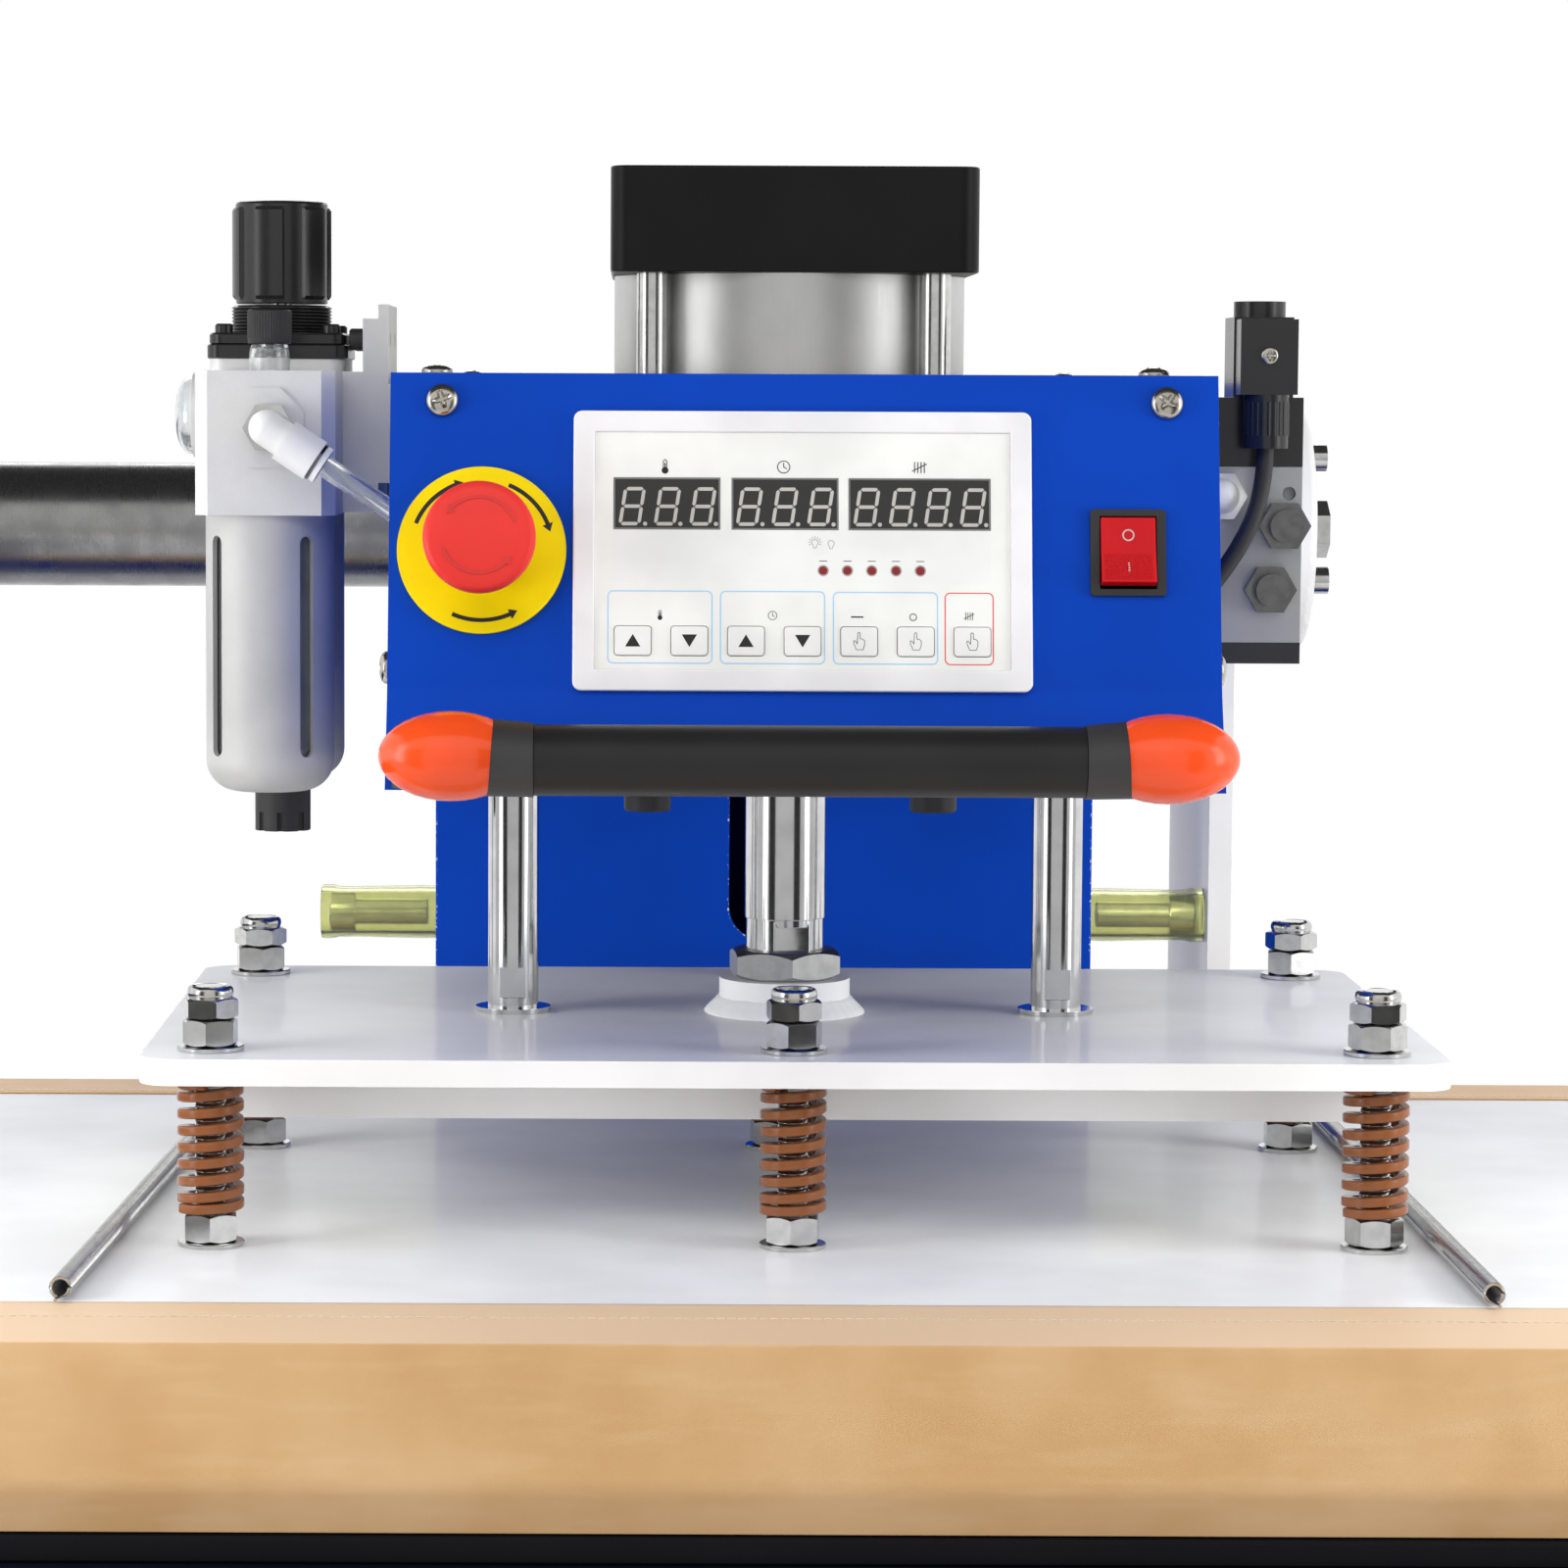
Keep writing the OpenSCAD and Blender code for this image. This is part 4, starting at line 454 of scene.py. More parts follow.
def dress(node, finishes, bevel=0.4, pick=None, **more):
    """A copy of a solid with its edges broken. pick says which finish an island gets, or None to leave it out."""
    bm = cad_copy(node)
    if pick:
        for faces in islands(bm):
            choice = pick(*span(faces))
            if choice is None:
                bmesh.ops.delete(bm, geom=faces, context="FACES")
            else:
                for face in faces:
                    face.material_index = choice
    count = len(bm.faces)
    piece = finish_mesh(bm, node + "_finished", BODY_OF[node], SLOT_OF[node], finishes, bevel, (node,), **more)
    print(f"{piece.name}: {count} faces, {len(piece.data.polygons)} with its edges broken")
    return piece


def dress_all(*rows):
    """Dresses solids that only need a finish and a broken edge, as (finish, bevel, segments, nodes)."""
    for finish, bevel, segments, nodes in rows:
        for node in nodes.split():
            dress(node, [finish], bevel, segments=segments)

# %% Outlines and rings
def polar(radius, angle, x=0.0, y=0.0):
    return (x + radius * math.cos(angle), y + radius * math.sin(angle))


def around(radius, height, sides=48):
    """A ring of points. The radius is a number, or a function of the angle in degrees."""
    spots = []
    for k in range(sides):
        a = 360 * k / sides
        spots.append((*polar(radius(a) if callable(radius) else radius, math.radians(a)), height))
    return spots


def hexagon(across):
    return lambda a: across / 2 / math.cos(math.radians((a + 30) % 60 - 30))


def rounded(width, height, radius, steps=5):
    """Outline of a rectangle with round corners."""
    spots = []
    for sx, sy, start in ((1, 1, 0), (-1, 1, 90), (-1, -1, 180), (1, -1, 270)):
        for k in range(steps + 1):
            spots.append(polar(radius, math.radians(start + 90 * k / steps), sx * (width / 2 - radius),
                               sy * (height / 2 - radius)))
    return spots


def lifted(outline, height):
    return [(x, y, height) for x, y in outline]


def rounded_rings(width, height, radius, profile, steps=5):
    """Rings of a rectangle with round corners, which profile insets by so much at each height."""
    return [lifted(rounded(width - 2 * inset, height - 2 * inset, radius, steps), z) for inset, z in profile]

# %% Shaper
class Shaper:
    """Collects closed solids, drawn in millimetres in a frame of their own."""

    def __init__(self):
        self.bm = bmesh.new()

    def stack(self, rings, place, finish=0, loop=False):
        made = [[self.bm.verts.new(place @ Vector(spot)) for spot in ring] for ring in rings]
        pairs = list(zip(made, made[1:])) + ([(made[-1], made[0])] if loop else [])
        faces = []
        for low, high in pairs:
            n = max(len(low), len(high))
            for k in range(n):
                j = (k + 1) % n
                if len(low) == 1:
                    corners = (low[0], high[j], high[k])
                elif len(high) == 1:
                    corners = (low[k], low[j], high[0])
                else:
                    corners = (low[k], low[j], high[j], high[k])
                faces.append(self.bm.faces.new(corners))
        if not loop:
            faces += [self.bm.faces.new(ring) for ring in (made[0][::-1], made[-1]) if len(ring) > 2]
        for face in faces:
            face.material_index = finish
        bmesh.ops.recalc_face_normals(self.bm, faces=faces)
        return self

    def lathe(self, profile, place, finish=0, sides=48, loop=False):
        """profile runs upwards as (radius, height) pairs, with radii as for around; a radius of 0 is a pole."""
        rings = [[(0, 0, z)] if r == 0 else around(r, z, sides) for r, z in profile]
        return self.stack(rings, place, finish, loop)

    def prism(self, outline, low, high, place, finish=0):
        return self.stack([lifted(outline, z) for z in (low, high)], place, finish)

    def band(self, outline, inner, low, high, place, finish=0):
        """A flat frame between two outlines of as many points."""
        rings = [lifted(line, z) for line, z in ((outline, low), (outline, high), (inner, high), (inner, low))]
        return self.stack(rings, place, finish, loop=True)

    def tube(self, path, radius, place, finish=0, sides=12, hollow=None):
        """A round bar along a path, or a pipe where hollow is its inner radius."""
        path = [Vector(p) for p in path]
        across = Vector((0, 0, 1)) if abs((path[1] - path[0]).normalized().z) < 0.9 else Vector((1, 0, 0))
        outer, inner = [], []
        for i, spot in enumerate(path):
            along = (path[min(i + 1, len(path) - 1)] - path[max(i - 1, 0)]).normalized()
            across = (across - along * across.dot(along)).normalized()
            side = along.cross(across)
            r = radius[i] if isinstance(radius, (list, tuple)) else radius
            for rings, size in ((outer, r), (inner, hollow)):
                if size:
                    rings.append([spot + size * (math.cos(a) * across + math.sin(a) * side)
                                  for a in (2 * math.pi * k / sides for k in range(sides))])
        return self.stack(outer + inner[::-1], place, finish, loop=bool(hollow))

    def take(self, mesh, finish=0):
        """Adds a mesh that is already in metres in the model's frame."""
        first = len(self.bm.faces)
        self.bm.from_mesh(mesh)
        self.bm.faces.ensure_lookup_table()
        for face in self.bm.faces[first:]:
            face.material_index = finish
        return self

    def piece(self, name, body, slot, finishes, **more):
        made = finish_mesh(self.bm, name, body, slot, finishes, **more)
        print(f"{name}: {len(made.data.polygons)} faces")
        return made

# %% [markdown]
# ## Repeating a piece
# Screws, nuts, digits, stitches and thread turns repeat. A small Geometry Nodes tree does it: each point carries the
# turn that its copy needs, the copies become real geometry, and the last node gives them their finish.

# %% Geometry Nodes: copies on points
def new_tree(name, sockets):
    """An empty tree with a geometry on either side, and named inputs as (name, kind, value)."""
    tree = bpy.data.node_groups.new(name, "GeometryNodeTree")
    tree.interface.new_socket("Geometry", in_out="INPUT", socket_type="NodeSocketGeometry")
    tree.interface.new_socket("Geometry", in_out="OUTPUT", socket_type="NodeSocketGeometry")
    for label, kind, value in sockets:
        made = tree.interface.new_socket(label, in_out="INPUT", socket_type="NodeSocket" + kind)
        if value is not None:
            made.default_value = value
    return tree, tree.nodes.new("NodeGroupInput"), tree.nodes.new("NodeGroupOutput")


def chain(tree, kind, settings=None, sockets=None):
    node = tree.nodes.new(kind)
    for label, value in (settings or {}).items():
        setattr(node, label, value)
    for label, value in (sockets or {}).items():
        if isinstance(value, bpy.types.NodeSocket):
            tree.links.new(value, node.inputs[label])
        else:
            node.inputs[label].default_value = value
    return node


def closed(tree, geometry, finish, out):
    """Ends a tree: real geometry with its finish."""
    real = chain(tree, "GeometryNodeRealizeInstances", {}, {"Geometry": geometry})
    named = chain(tree, "GeometryNodeSetMaterial", {}, {"Geometry": real.outputs[0], "Material": finish})
    tree.links.new(named.outputs[0], out.inputs[0])


def grown(tree, source, values):
    """Runs a tree on a mesh or curve with its inputs set by identifier, and returns the plain mesh."""
    holder = bpy.data.objects.new("holder", source)
    bpy.context.collection.objects.link(holder)
    modifier = holder.modifiers.new("grow", "NODES")
    modifier.node_group = tree
    for item in tree.interface.items_tree:
        if item.item_type == "SOCKET" and item.in_out == "INPUT" and item.name in values:
            modifier[item.identifier] = values[item.name]
    bpy.context.view_layer.update()
    depsgraph = bpy.context.evaluated_depsgraph_get()
    mesh = bpy.data.meshes.new_from_object(holder.evaluated_get(depsgraph), depsgraph=depsgraph)
    bpy.data.objects.remove(holder)
    return mesh


COPIES, come, go = new_tree("copies_on_points", [("Part", "Object", None), ("Finish", "Material", None)])
part = chain(COPIES, "GeometryNodeObjectInfo", {}, {"Object": come.outputs["Part"]})
turned = chain(COPIES, "GeometryNodeInputNamedAttribute", {"data_type": "FLOAT_VECTOR"}, {"Name": "turn"})
way = chain(COPIES, "FunctionNodeEulerToRotation", {}, {0: turned.outputs[0]})
put = chain(COPIES, "GeometryNodeInstanceOnPoints", {}, {
    "Points": come.outputs["Geometry"], "Instance": part.outputs["Geometry"], "Rotation": way.outputs[0]})
closed(COPIES, put.outputs[0], come.outputs["Finish"], go)


def copies(shaper, places, finish):
    """One mesh with a copy of the shaped part at each place. A place is a frame in metres, its scale left aside."""
    part_mesh = bpy.data.meshes.new("part")
    shaper.bm.to_mesh(part_mesh)
    shaper.bm.free()
    model = bpy.data.objects.new("part", part_mesh)
    bpy.context.collection.objects.link(model)
    dots = bpy.data.meshes.new("dots")
    dots.from_pydata([p.translation for p in places], [], [])
    turns = dots.attributes.new("turn", "FLOAT_VECTOR", "POINT")
    for k, place in enumerate(places):
        turns.data[k].vector = place.to_euler()
    mesh = grown(COPIES, dots, {"Part": model, "Finish": FINISH[finish]})
    bpy.data.objects.remove(model)
    return mesh


print("trees:", len(bpy.data.node_groups))

# %% [markdown]
# ## The studio
# The machine stands on a plain pale floor before white. Near the machine the floor is an ordinary matt surface and
# keeps its shadow; further off it fades to the white of the background. The light is soft: a wide box above and in
# front, one on each side, two small ones low down that show in no reflection, and one behind. Four dark cards, which
# only reflections see, give round steel its dark bands.

# %% Floor
def seen_white(p, open_side):
    """1 for the rays that should meet the white background; reflections meet it only on its open side."""
    seen, gloss, through = (p.node("LightPath", out=f"Is {kind} Ray") for kind in ("Camera", "Glossy", "Transmission"))
    return seen.larger(gloss * open_side).larger(through)


ground = Paint("floor", Roughness=0.85)
apart = ground.node("VectorMath", {"operation": "LENGTH"}, {0: ground.spot}, out="Value")
FADE_FROM, FADE_TO, FLOOR_RADIUS = 1.6, 2.6, 18
far = apart.between(FADE_FROM, FADE_TO)
glow = ground.node("Emission", {}, {"Color": (1, 1, 1, 1), "Strength": 1.0})
tone = ground.mix(ground.grain(300, 2), (0.8, 0.8, 0.8, 1), (0.84, 0.84, 0.84, 1))
feed(ground.tree, ground.shader.inputs["Base Color"], tone)
ground_y = ground.node("SeparateXYZ", {}, {0: ground.spot}, out="Y")
faded = far * seen_white(ground, ground_y.between(-1.2, 0.2))
blend = ground.node("MixShader", {}, {0: faded, 1: Wire(ground.tree, ground.shader.outputs[0]), 2: glow})
feed(ground.tree, ground.tree.nodes["Material Output"].inputs["Surface"], blend)


def card(name, corners, material):
    mesh = bpy.data.meshes.new(name)
    mesh.from_pydata(corners, [], [list(range(len(corners)))])
    made = bpy.data.objects.new(name, mesh)
    bpy.context.collection.objects.link(made)
    mesh.materials.append(material)
    return made


card("floor", around(FLOOR_RADIUS, 0), ground.material)

# %% Background
world = bpy.data.worlds.new("studio")
world.use_nodes = True
bpy.context.scene.world = world
sky = world.node_tree
lit = sky.nodes["Background"]
rays = sky.nodes.new("ShaderNodeLightPath")
way = sky.nodes.new("ShaderNodeTexCoord")
apart = sky.nodes.new("ShaderNodeSeparateXYZ")
sky.links.new(way.outputs["Generated"], apart.inputs[0])
open_side = Wire(sky, apart.outputs["Y"]).between(-0.75, -0.2) * 0.85 + 0.15
shown = Wire(sky, rays.outputs["Is Camera Ray"]).larger(Wire(sky, rays.outputs["Is Glossy Ray"]) * open_side)
shown = shown.larger(Wire(sky, rays.outputs["Is Transmission Ray"]))
FILL = 0.66
feed(sky, lit.inputs["Color"], (1, 1, 1, 1))
feed(sky, lit.inputs["Strength"], shown * (1 - FILL) + FILL)
print("background lights the machine at", FILL)

# %% Lights and cards
def softbox(name, place, aim, width, height, power, mirrored=True):
    """An area light. One that isn't mirrored lights the machine but shows in no reflection."""
    light = bpy.data.lights.new(name, "AREA")
    light.shape, light.size, light.size_y, light.energy = "RECTANGLE", width, height, power
    made = bpy.data.objects.new(name, light)
    made.location = place
    made.rotation_euler = (Vector(aim) - Vector(place)).to_track_quat("-Z", "Y").to_euler()
    made.visible_glossy, made.visible_camera = mirrored, False
    bpy.context.collection.objects.link(made)


HEAD_SPOT = (0.42, 0, 1.0)
softbox("key_box", (0.1, -2.6, 2.9), HEAD_SPOT, 2.4, 1.2, 22, mirrored=False)
softbox("left_box", (-2.3, -1.6, 1.5), (0.42, 0, 1.05), 0.8, 2.2, 11)
softbox("right_box", (3.2, -1.5, 1.6), (0.42, 0, 1.05), 0.8, 2.2, 11)
for side in (-1, 1):
    softbox(f"fill_{side}", (0.42 + side * 0.8, -0.42, 1.12), (0.42, 0.0, 0.97), 0.5, 0.3, 4.2, mirrored=False)
softbox("back_box", (0.4, 2.6, 2.6), HEAD_SPOT, 2.5, 1.0, 16)

card_black = Paint("dark_card", Base_Color=grey(0.02))
dark = card_black.done(Roughness=0.8 + (card_black.grain(40, 3) - 0.5) * 0.1)
for name, corners in {
    "card_above": [(-1.6, -1.2, 2.5), (2.4, -1.2, 2.5), (2.4, -0.1, 2.9), (-1.6, -0.1, 2.9)],
    "card_behind": [(-1.6, -0.1, 2.9), (2.4, -0.1, 2.9), (2.4, 2.2, 2.5), (-1.6, 2.2, 2.5)],
    "card_left": [(-1.5, -1.75, 0), (-0.75, -2.1, 0), (-0.75, -2.1, 1.9), (-1.5, -1.75, 1.9)],
    "card_right": [(1.25, -2.1, 0), (1.9, -1.8, 0), (1.9, -1.8, 1.9), (1.25, -2.1, 1.9)],
}.items():
    flag = card(name, corners, dark)
    flag.visible_camera = flag.visible_diffuse = flag.visible_shadow = flag.visible_transmission = False
print("lights:", len(bpy.data.lights))

# %% [markdown]
# ## Air hose and valve cable
# Both are short cords that go back into the machine: a clear hose from the elbow of the air unit into the head box,
# and a black cable from the valve's connector. They follow the routes of the solids. The hose is a real pipe with a
# wall, and each one bends gently, because a hose this thick never kinks.

# %% Cords
HOSE = [(-177.5 + 2.5 * k, -98, round(112.2 - 5 * k / 3, 1)) for k in range(19)]
CABLE = [(175.25, -96, 124), (175.25, -96, 119), (175, -96.8, 114), (174.3, -98.6, 109), (173.2, -101.2, 104),
         (171.7, -103.6, 98.5), (169.7, -105, 93), (167.1, -105.6, 87.5), (164.1, -105.6, 82),
         (160.8, -105.2, 76.8), (157.4, -104.6, 71.8), (154.1, -103.8, 67.4), (151, -103.1, 63.8),
         (147.5, -102.6, 60.6), (142, -102.2, 57)]


def cord(points, thick, name, node, slot, finish, lay, **section):
    """A cord on the carriage, along points whose heights count from the head's floor."""
    path = [(x, y, z + FLOOR) for x, y, z in points]
    piece = Shaper().tube(path, thick / 2, PRESS, **section).piece(name, "carriage", slot, [finish], replaces=(node,))


cord(HOSE, 8, "clear_air_hose", "air_hose", "clear_hose", "clear_hose", "taut", sides=32, hollow=2.6)
cord(CABLE, 6.5, "black_valve_cable", "valve_cable", "black_plastic", "black_matt", "hanging", sides=24)

# %% [markdown]
# ## Base, tables, columns and shafts
# The frame is square tube with round corners and welded joints, so its bevel is wide, and on the inner corners the
# same bevel reads as a weld. Columns and shaft ends are flame-cut plate with a broken edge.

# %% Base and columns
dress_all(("frame_blue", 3.0, 3, "base_frame"), ("zinc", 0.8, 2, "levelling_feet"),
          ("table_blue", 1.5, 2, "lower_tables"), ("column_white", 1.0, 2, "left_column right_column"),
          ("shaft_steel", 1.0, 2, "guide_shafts"), ("column_white", 0.6, 2, "shaft_end_caps"),
          ("zinc", 0.7, 2, "column_fasteners"))

# %% [markdown]
# ## Carriage and head box
# The carriage body is a heavy folded box, and the head a lighter one. Sheet steel that was bent has a round outer
# corner, so the front panel's bend and its lower edge get a wide bevel, and everything else only a broken edge.

# %% Carriage and head box
BEND_UP, BEND_RADIUS = 34, 2.0


def panel_bend(edge):
    """The front panel is folded inwards along its lower edge, which is the long edge at that height."""
    middle = PRESS.inverted() @ ((edge.verts[0].co + edge.verts[1].co) / 2)
    folded = abs(middle.z - FLOOR - BEND_UP) < 0.6 and edge.calc_length() > 0.2 and middle.y < -190
    return BEND_RADIUS if folded else 0


dress_all(("head_blue", 0.8, 2, "carriage_body"), ("bronze", 0.5, 2, "shaft_bushes"),
          ("head_blue", 0.3, 2, "head_shell"))
dress("front_panel", ["head_blue"], bevel=0.35, wide=panel_bend)
dress_all(("cover_cream", 0.4, 2, "top_cover"), ("black_plate", 0.5, 2, "base_plate"))

# %% [markdown]
# ## Cylinder
# A cast cap that is ground and anodised dark, a drawn aluminium barrel and four plated tie rods.

# %% Cylinder
dress_all(("cap_dark", 0.9, 3, "cylinder_caps"), ("barrel_grey", 0.4, 2, "cylinder_barrel"),
          ("zinc", 0.5, 2, "tie_rods"))

# %% [markdown]
# ## Front panel: bezel, film, keys, stop button and switch
# The control unit is a moulded bezel round a printed membrane film. Digits, key frames and signs are made as very thin
# solids on the film, because they stay sharp at any distance and export as they are. The signs are plain ones.

# %% Panel solids
dress_all(("bezel_white", 0.9, 4, "control_bezel"), ("black_matt", 0.6, 2, "switch_bezel"),
          ("stem_red", 0.4, 2, "estop_stem"))

# %% [markdown]
# ## Ram and plate
# The thick plate under the ram has soft, well-painted edges. Its boss is welded on, and the rod screws into it against
# a large thin nut.

# %% Ram and plate
dress("pressure_plate", ["plate_white"], bevel=1.2, segments=3)
dress("piston_rod", ["rod_chrome"], bevel=0.5,  # its nut is made again below, with the weld
      pick=lambda middle, size: None if size.x > 40 and size.z < 13 else 0)
dress("guide_rods", ["rod_chrome"], bevel=0.4)

# %% Platen solids
dress_all(("platen_white", 1.0, 3, "platen_housing"), ("heater", 0.6, 2, "heater_plate"))

# %% [markdown]
# ## Screws, bolts and nuts
# The round heads are pressed, so their cross is soft at the bottom; a nut's corners are cut by a cone, which leaves the
# curved edge that catches the light. Both come from rings whose radius or height changes with the angle.

# %% Fastener shapes
def cross_screw(head=11.8, high=3.6, deep=1.5, arm=1.1, reach=3.3):
    """A pan head with a cross recess, its underside at height 0."""
    sides, shank = 72, 0.55 * head / 2
    rings = [around(r, z, sides) for r, z in ((shank, -2.5), (shank, 0), (head / 2 - 0.2, 0), (head / 2, 0.35),
                                              (head / 2, 0.9))]
    for k in range(1, 15):
        a = math.pi / 2 * k / 15
        rings.append(around(head / 2 * math.cos(a) ** 0.75, 0.9 + (high - 0.9) * math.sin(a), sides))
    for ring in rings[5:]:
        for i, (x, y, z) in enumerate(ring):
            near = min(max(abs(x), abs(y)) / reach, 1.0)
            side = min(abs(x), abs(y)) / (arm * (1.15 - 0.5 * near))
            cut = deep * (1 - near ** 4) * max(0.0, 1 - side ** 4) if side < 1 else 0
            ring[i] = (x, y, z - cut)
    rings.append([(0, 0, high - deep)])
    return Shaper().stack(rings, HERE)


def socket_screw(head, high, socket, shank, length):
    """A cap screw with a hexagon socket, its underside at height 0."""
    drive = hexagon(socket)
    return Shaper().lathe([(shank / 2 - 0.4, -length), (shank / 2, -length + 0.6), (shank / 2, 0), (head / 2 - 0.2, 0),
                           (head / 2, 0.3), (head / 2, high - 0.7), (head / 2 - 0.7, high),
                           (hexagon(socket + 0.5), high), (drive, high - 0.4), (drive, high * 0.4), (0, high * 0.3)],
                          HERE)


NUT_SIDES = 96
M12_ACROSS, M12_BORE, M12_PITCH = 19, 12.1, 1.75


def cone_cut(across, height):
    """Rings up the outside of a hexagon whose corners a cone has cut at both ends."""
    hexed, inner = hexagon(across), across / 2 * 0.95
    edge = [(x, y, max(0.0, (math.hypot(x, y) - inner) * 0.55)) for x, y, z in around(hexed, 0, NUT_SIDES)]
    return [around(inner, 0, NUT_SIDES), edge, [(x, y, height - lost) for x, y, lost in edge],
            around(inner, height, NUT_SIDES)]


def nut_on(part, across, height, bore, place):
    bored = [around(r, z, NUT_SIDES) for r, z in ((bore / 2 + 0.5, height), (bore / 2, height - 0.5), (bore / 2, 0.5),
                                                  (bore / 2 + 0.4, 0))]
    return part.stack(cone_cut(across, height) + bored, place, loop=True)


def threaded(part, radius, low, high, pitch, place, sides=36):
    """A bar with a thread, drawn as a stack of grooves one pitch apart."""
    depth = 0.5
    profile, z = [(radius - depth, low)], low
    while z + pitch < high:
        profile += [(radius - depth, z + 0.08 * pitch), (radius, z + 0.45 * pitch), (radius, z + 0.6 * pitch)]
        z += pitch
    profile += [(radius - depth, z + 0.08 * pitch), (radius - depth, high)]
    return part.lathe(profile, place, sides=sides)

# %% Screws of the carriage
cover_spots = [(x, y) for x in (-135, 135) for y in (-80, 292)]
round_heads = [on_panel(x, 10.2, RESTS) @ turn(20 * s, "Z") for s, x in ((1, -129), (-2, 129))]
round_heads += [PRESS @ shift(x, y, TOP + RESTS) @ turn(17 * k, "Z") for k, (x, y) in enumerate(cover_spots)]
round_heads += [PRESS @ shift(side * (HEAD_HALF + RESTS), -181, FLOOR + 41) @ turn(90 * side, "Y") for side in (-1, 1)]
under = [PRESS @ shift(x, y, FLOOR - 9) @ turn(180, "X") for x in (-55, 55) for y in (-55, 55)]
BUMPER_Y, BUMPER_Z = 335, 972
ends = [PRESS @ shift(side * 191, BUMPER_Y, BUMPER_Z) @ turn(90 * side, "Y") for side in (-1, 1)]
latches = [PRESS @ shift(-166, y, TOP + 13.6) @ turn(-90, "Y") for y in (-16, 17)]
bumper_bolt = threaded(socket_screw(18, 12, 10, 12, 34), 6, -33, -2, M12_PITCH, HERE)
SCREW_FINISHES = ["nickel", "black_matt", "zinc"]
screws = Shaper()
for shape, spots, finish in ((cross_screw(), round_heads, 0), (socket_screw(18, 12, 10, 12, 26), under, 1),
                             (bumper_bolt, ends, 2), (socket_screw(8.5, 6, 5, 6, 5), latches, 1)):
    screws.take(copies(shape, spots, SCREW_FINISHES[finish]), finish)
screws.piece("carriage_screws", "carriage", "screw_steel", SCREW_FINISHES, replaces=("carriage_fasteners",))

# %% [markdown]
# ## Studs, nuts and die springs
# Six studs carry the platen. Each has a washer and a nut below, then above the plate a washer, a nut and a lock nut
# whose rolled collar holds a nylon ring. Die springs are wound from flat wire, closed at both ends and painted; they
# are swept along a path that starts and ends level.

# %% Studs and nuts
STUDS = [(x, y) for x in (-218, 0, 218) for y in (-115.5, 115.5)]
WASHER, LOW_NUT, SPRING = 1.8, 10.7, 51.0
WASHER_LINE = [(M12_BORE / 2, 0), (12.3, 0), (12.5, 0.2), (12.5, WASHER - 0.3), (12.2, WASHER), (M12_BORE / 2, WASHER)]
LOCK_COLLAR = [(8.25, 7.9), (8.6, 8.6), (8.7, 9.6), (8.5, 10.8), (8.0, 11.6), (7.3, 11.95), (6.7, 11.8), (6.4, 11.4),
               (6.05, 10.9), (6.05, 0.5), (6.4, 0)]
stud = threaded(Shaper(), 6, 855.3, 994.1, M12_PITCH, HERE, sides=24)
for under_nut, high, twist in ((PLATEN_TOP, LOW_NUT, 3), (PLATE_TOP + 0.1, 10, -4)):
    stud.lathe(WASHER_LINE, HERE @ shift(z=under_nut), sides=64, loop=True)
    nut_on(stud, M12_ACROSS, high, M12_BORE, HERE @ shift(z=under_nut + WASHER) @ turn(twist, "Z"))
lock = cone_cut(M12_ACROSS, 7.6) + [around(r, z, NUT_SIDES) for r, z in LOCK_COLLAR]
stud.stack(lock, HERE @ shift(z=PLATE_TOP + 12.2) @ turn(17, "Z"), loop=True)


def on_studs(turns, height=0.0):
    """A frame at each stud, each turned a little differently."""
    return [PRESS @ shift(x, y, height) @ turn(angle, "Z") for (x, y), angle in zip(STUDS, turns)]


all_studs = Shaper().take(copies(stud, on_studs([0, 14, -9, 5, 21, -3]), "zinc"))
all_studs.piece("studs_and_nuts", "platen", "zinc_steel", ["zinc"], replaces=("float_studs",), smooth=38)

# %% Geometry Nodes: wire along a path
WIRE, come, go = new_tree("wire_along_path", [("Wire Width", "Float", 5.0), ("Wire Height", "Float", 3.7),
                                              ("Corner", "Float", 0.9), ("Finish", "Material", None)])
section = chain(WIRE, "GeometryNodeCurvePrimitiveQuadrilateral", {}, {
    "Width": come.outputs["Wire Width"], "Height": come.outputs["Wire Height"]})
soft = chain(WIRE, "GeometryNodeFilletCurve", {"mode": "POLY"}, {
    0: section.outputs[0], "Radius": come.outputs["Corner"], "Count": 3})
level = chain(WIRE, "GeometryNodeSetCurveNormal", {"mode": "Z_UP"}, {0: come.outputs["Geometry"]})
swept = chain(WIRE, "GeometryNodeCurveToMesh", {}, {"Curve": level.outputs[0], "Profile Curve": soft.outputs[0],
                                                    "Fill Caps": True})
closed(WIRE, swept.outputs[0], come.outputs["Finish"], go)


def wound(path, width, height, corner, finish):
    """Wire of that section along a path in metres, as one plain mesh."""
    line = bpy.data.curves.new("line", "CURVE")
    line.dimensions = "3D"
    spline = line.splines.new("POLY")
    spline.points.add(len(path) - 1)
    for point, spot in zip(spline.points, path):
        point.co = (*spot, 1)
    return grown(WIRE, line, {"Wire Width": width * MM, "Wire Height": height * MM, "Corner": corner * MM,
                              "Finish": FINISH[finish]})


def coil(turns_open, turns_closed, radius, wire, length, steps=28):
    """Points of a compression spring: closed turns lie flat on each end, the open ones share what is left."""
    lying = wire * 0.92
    total = turns_open + 2 * turns_closed
    rise = (length - wire - 2 * turns_closed * lying) / turns_open
    spots, z = [], wire / 2
    count = int(total * steps)
    for k in range(count + 1):
        t = k / steps
        spots.append((*polar(radius, 2 * math.pi * t), z))
        end = min(t, total - t)
        ease = min(max((end - turns_closed + 0.25) / 0.5, 0), 1)
        z += (lying + (rise - lying) * ease) / steps
    scale = (length - wire) / (spots[-1][2] - spots[0][2])
    return [(x, y, wire / 2 + (z - wire / 2) * scale) for x, y, z in spots]

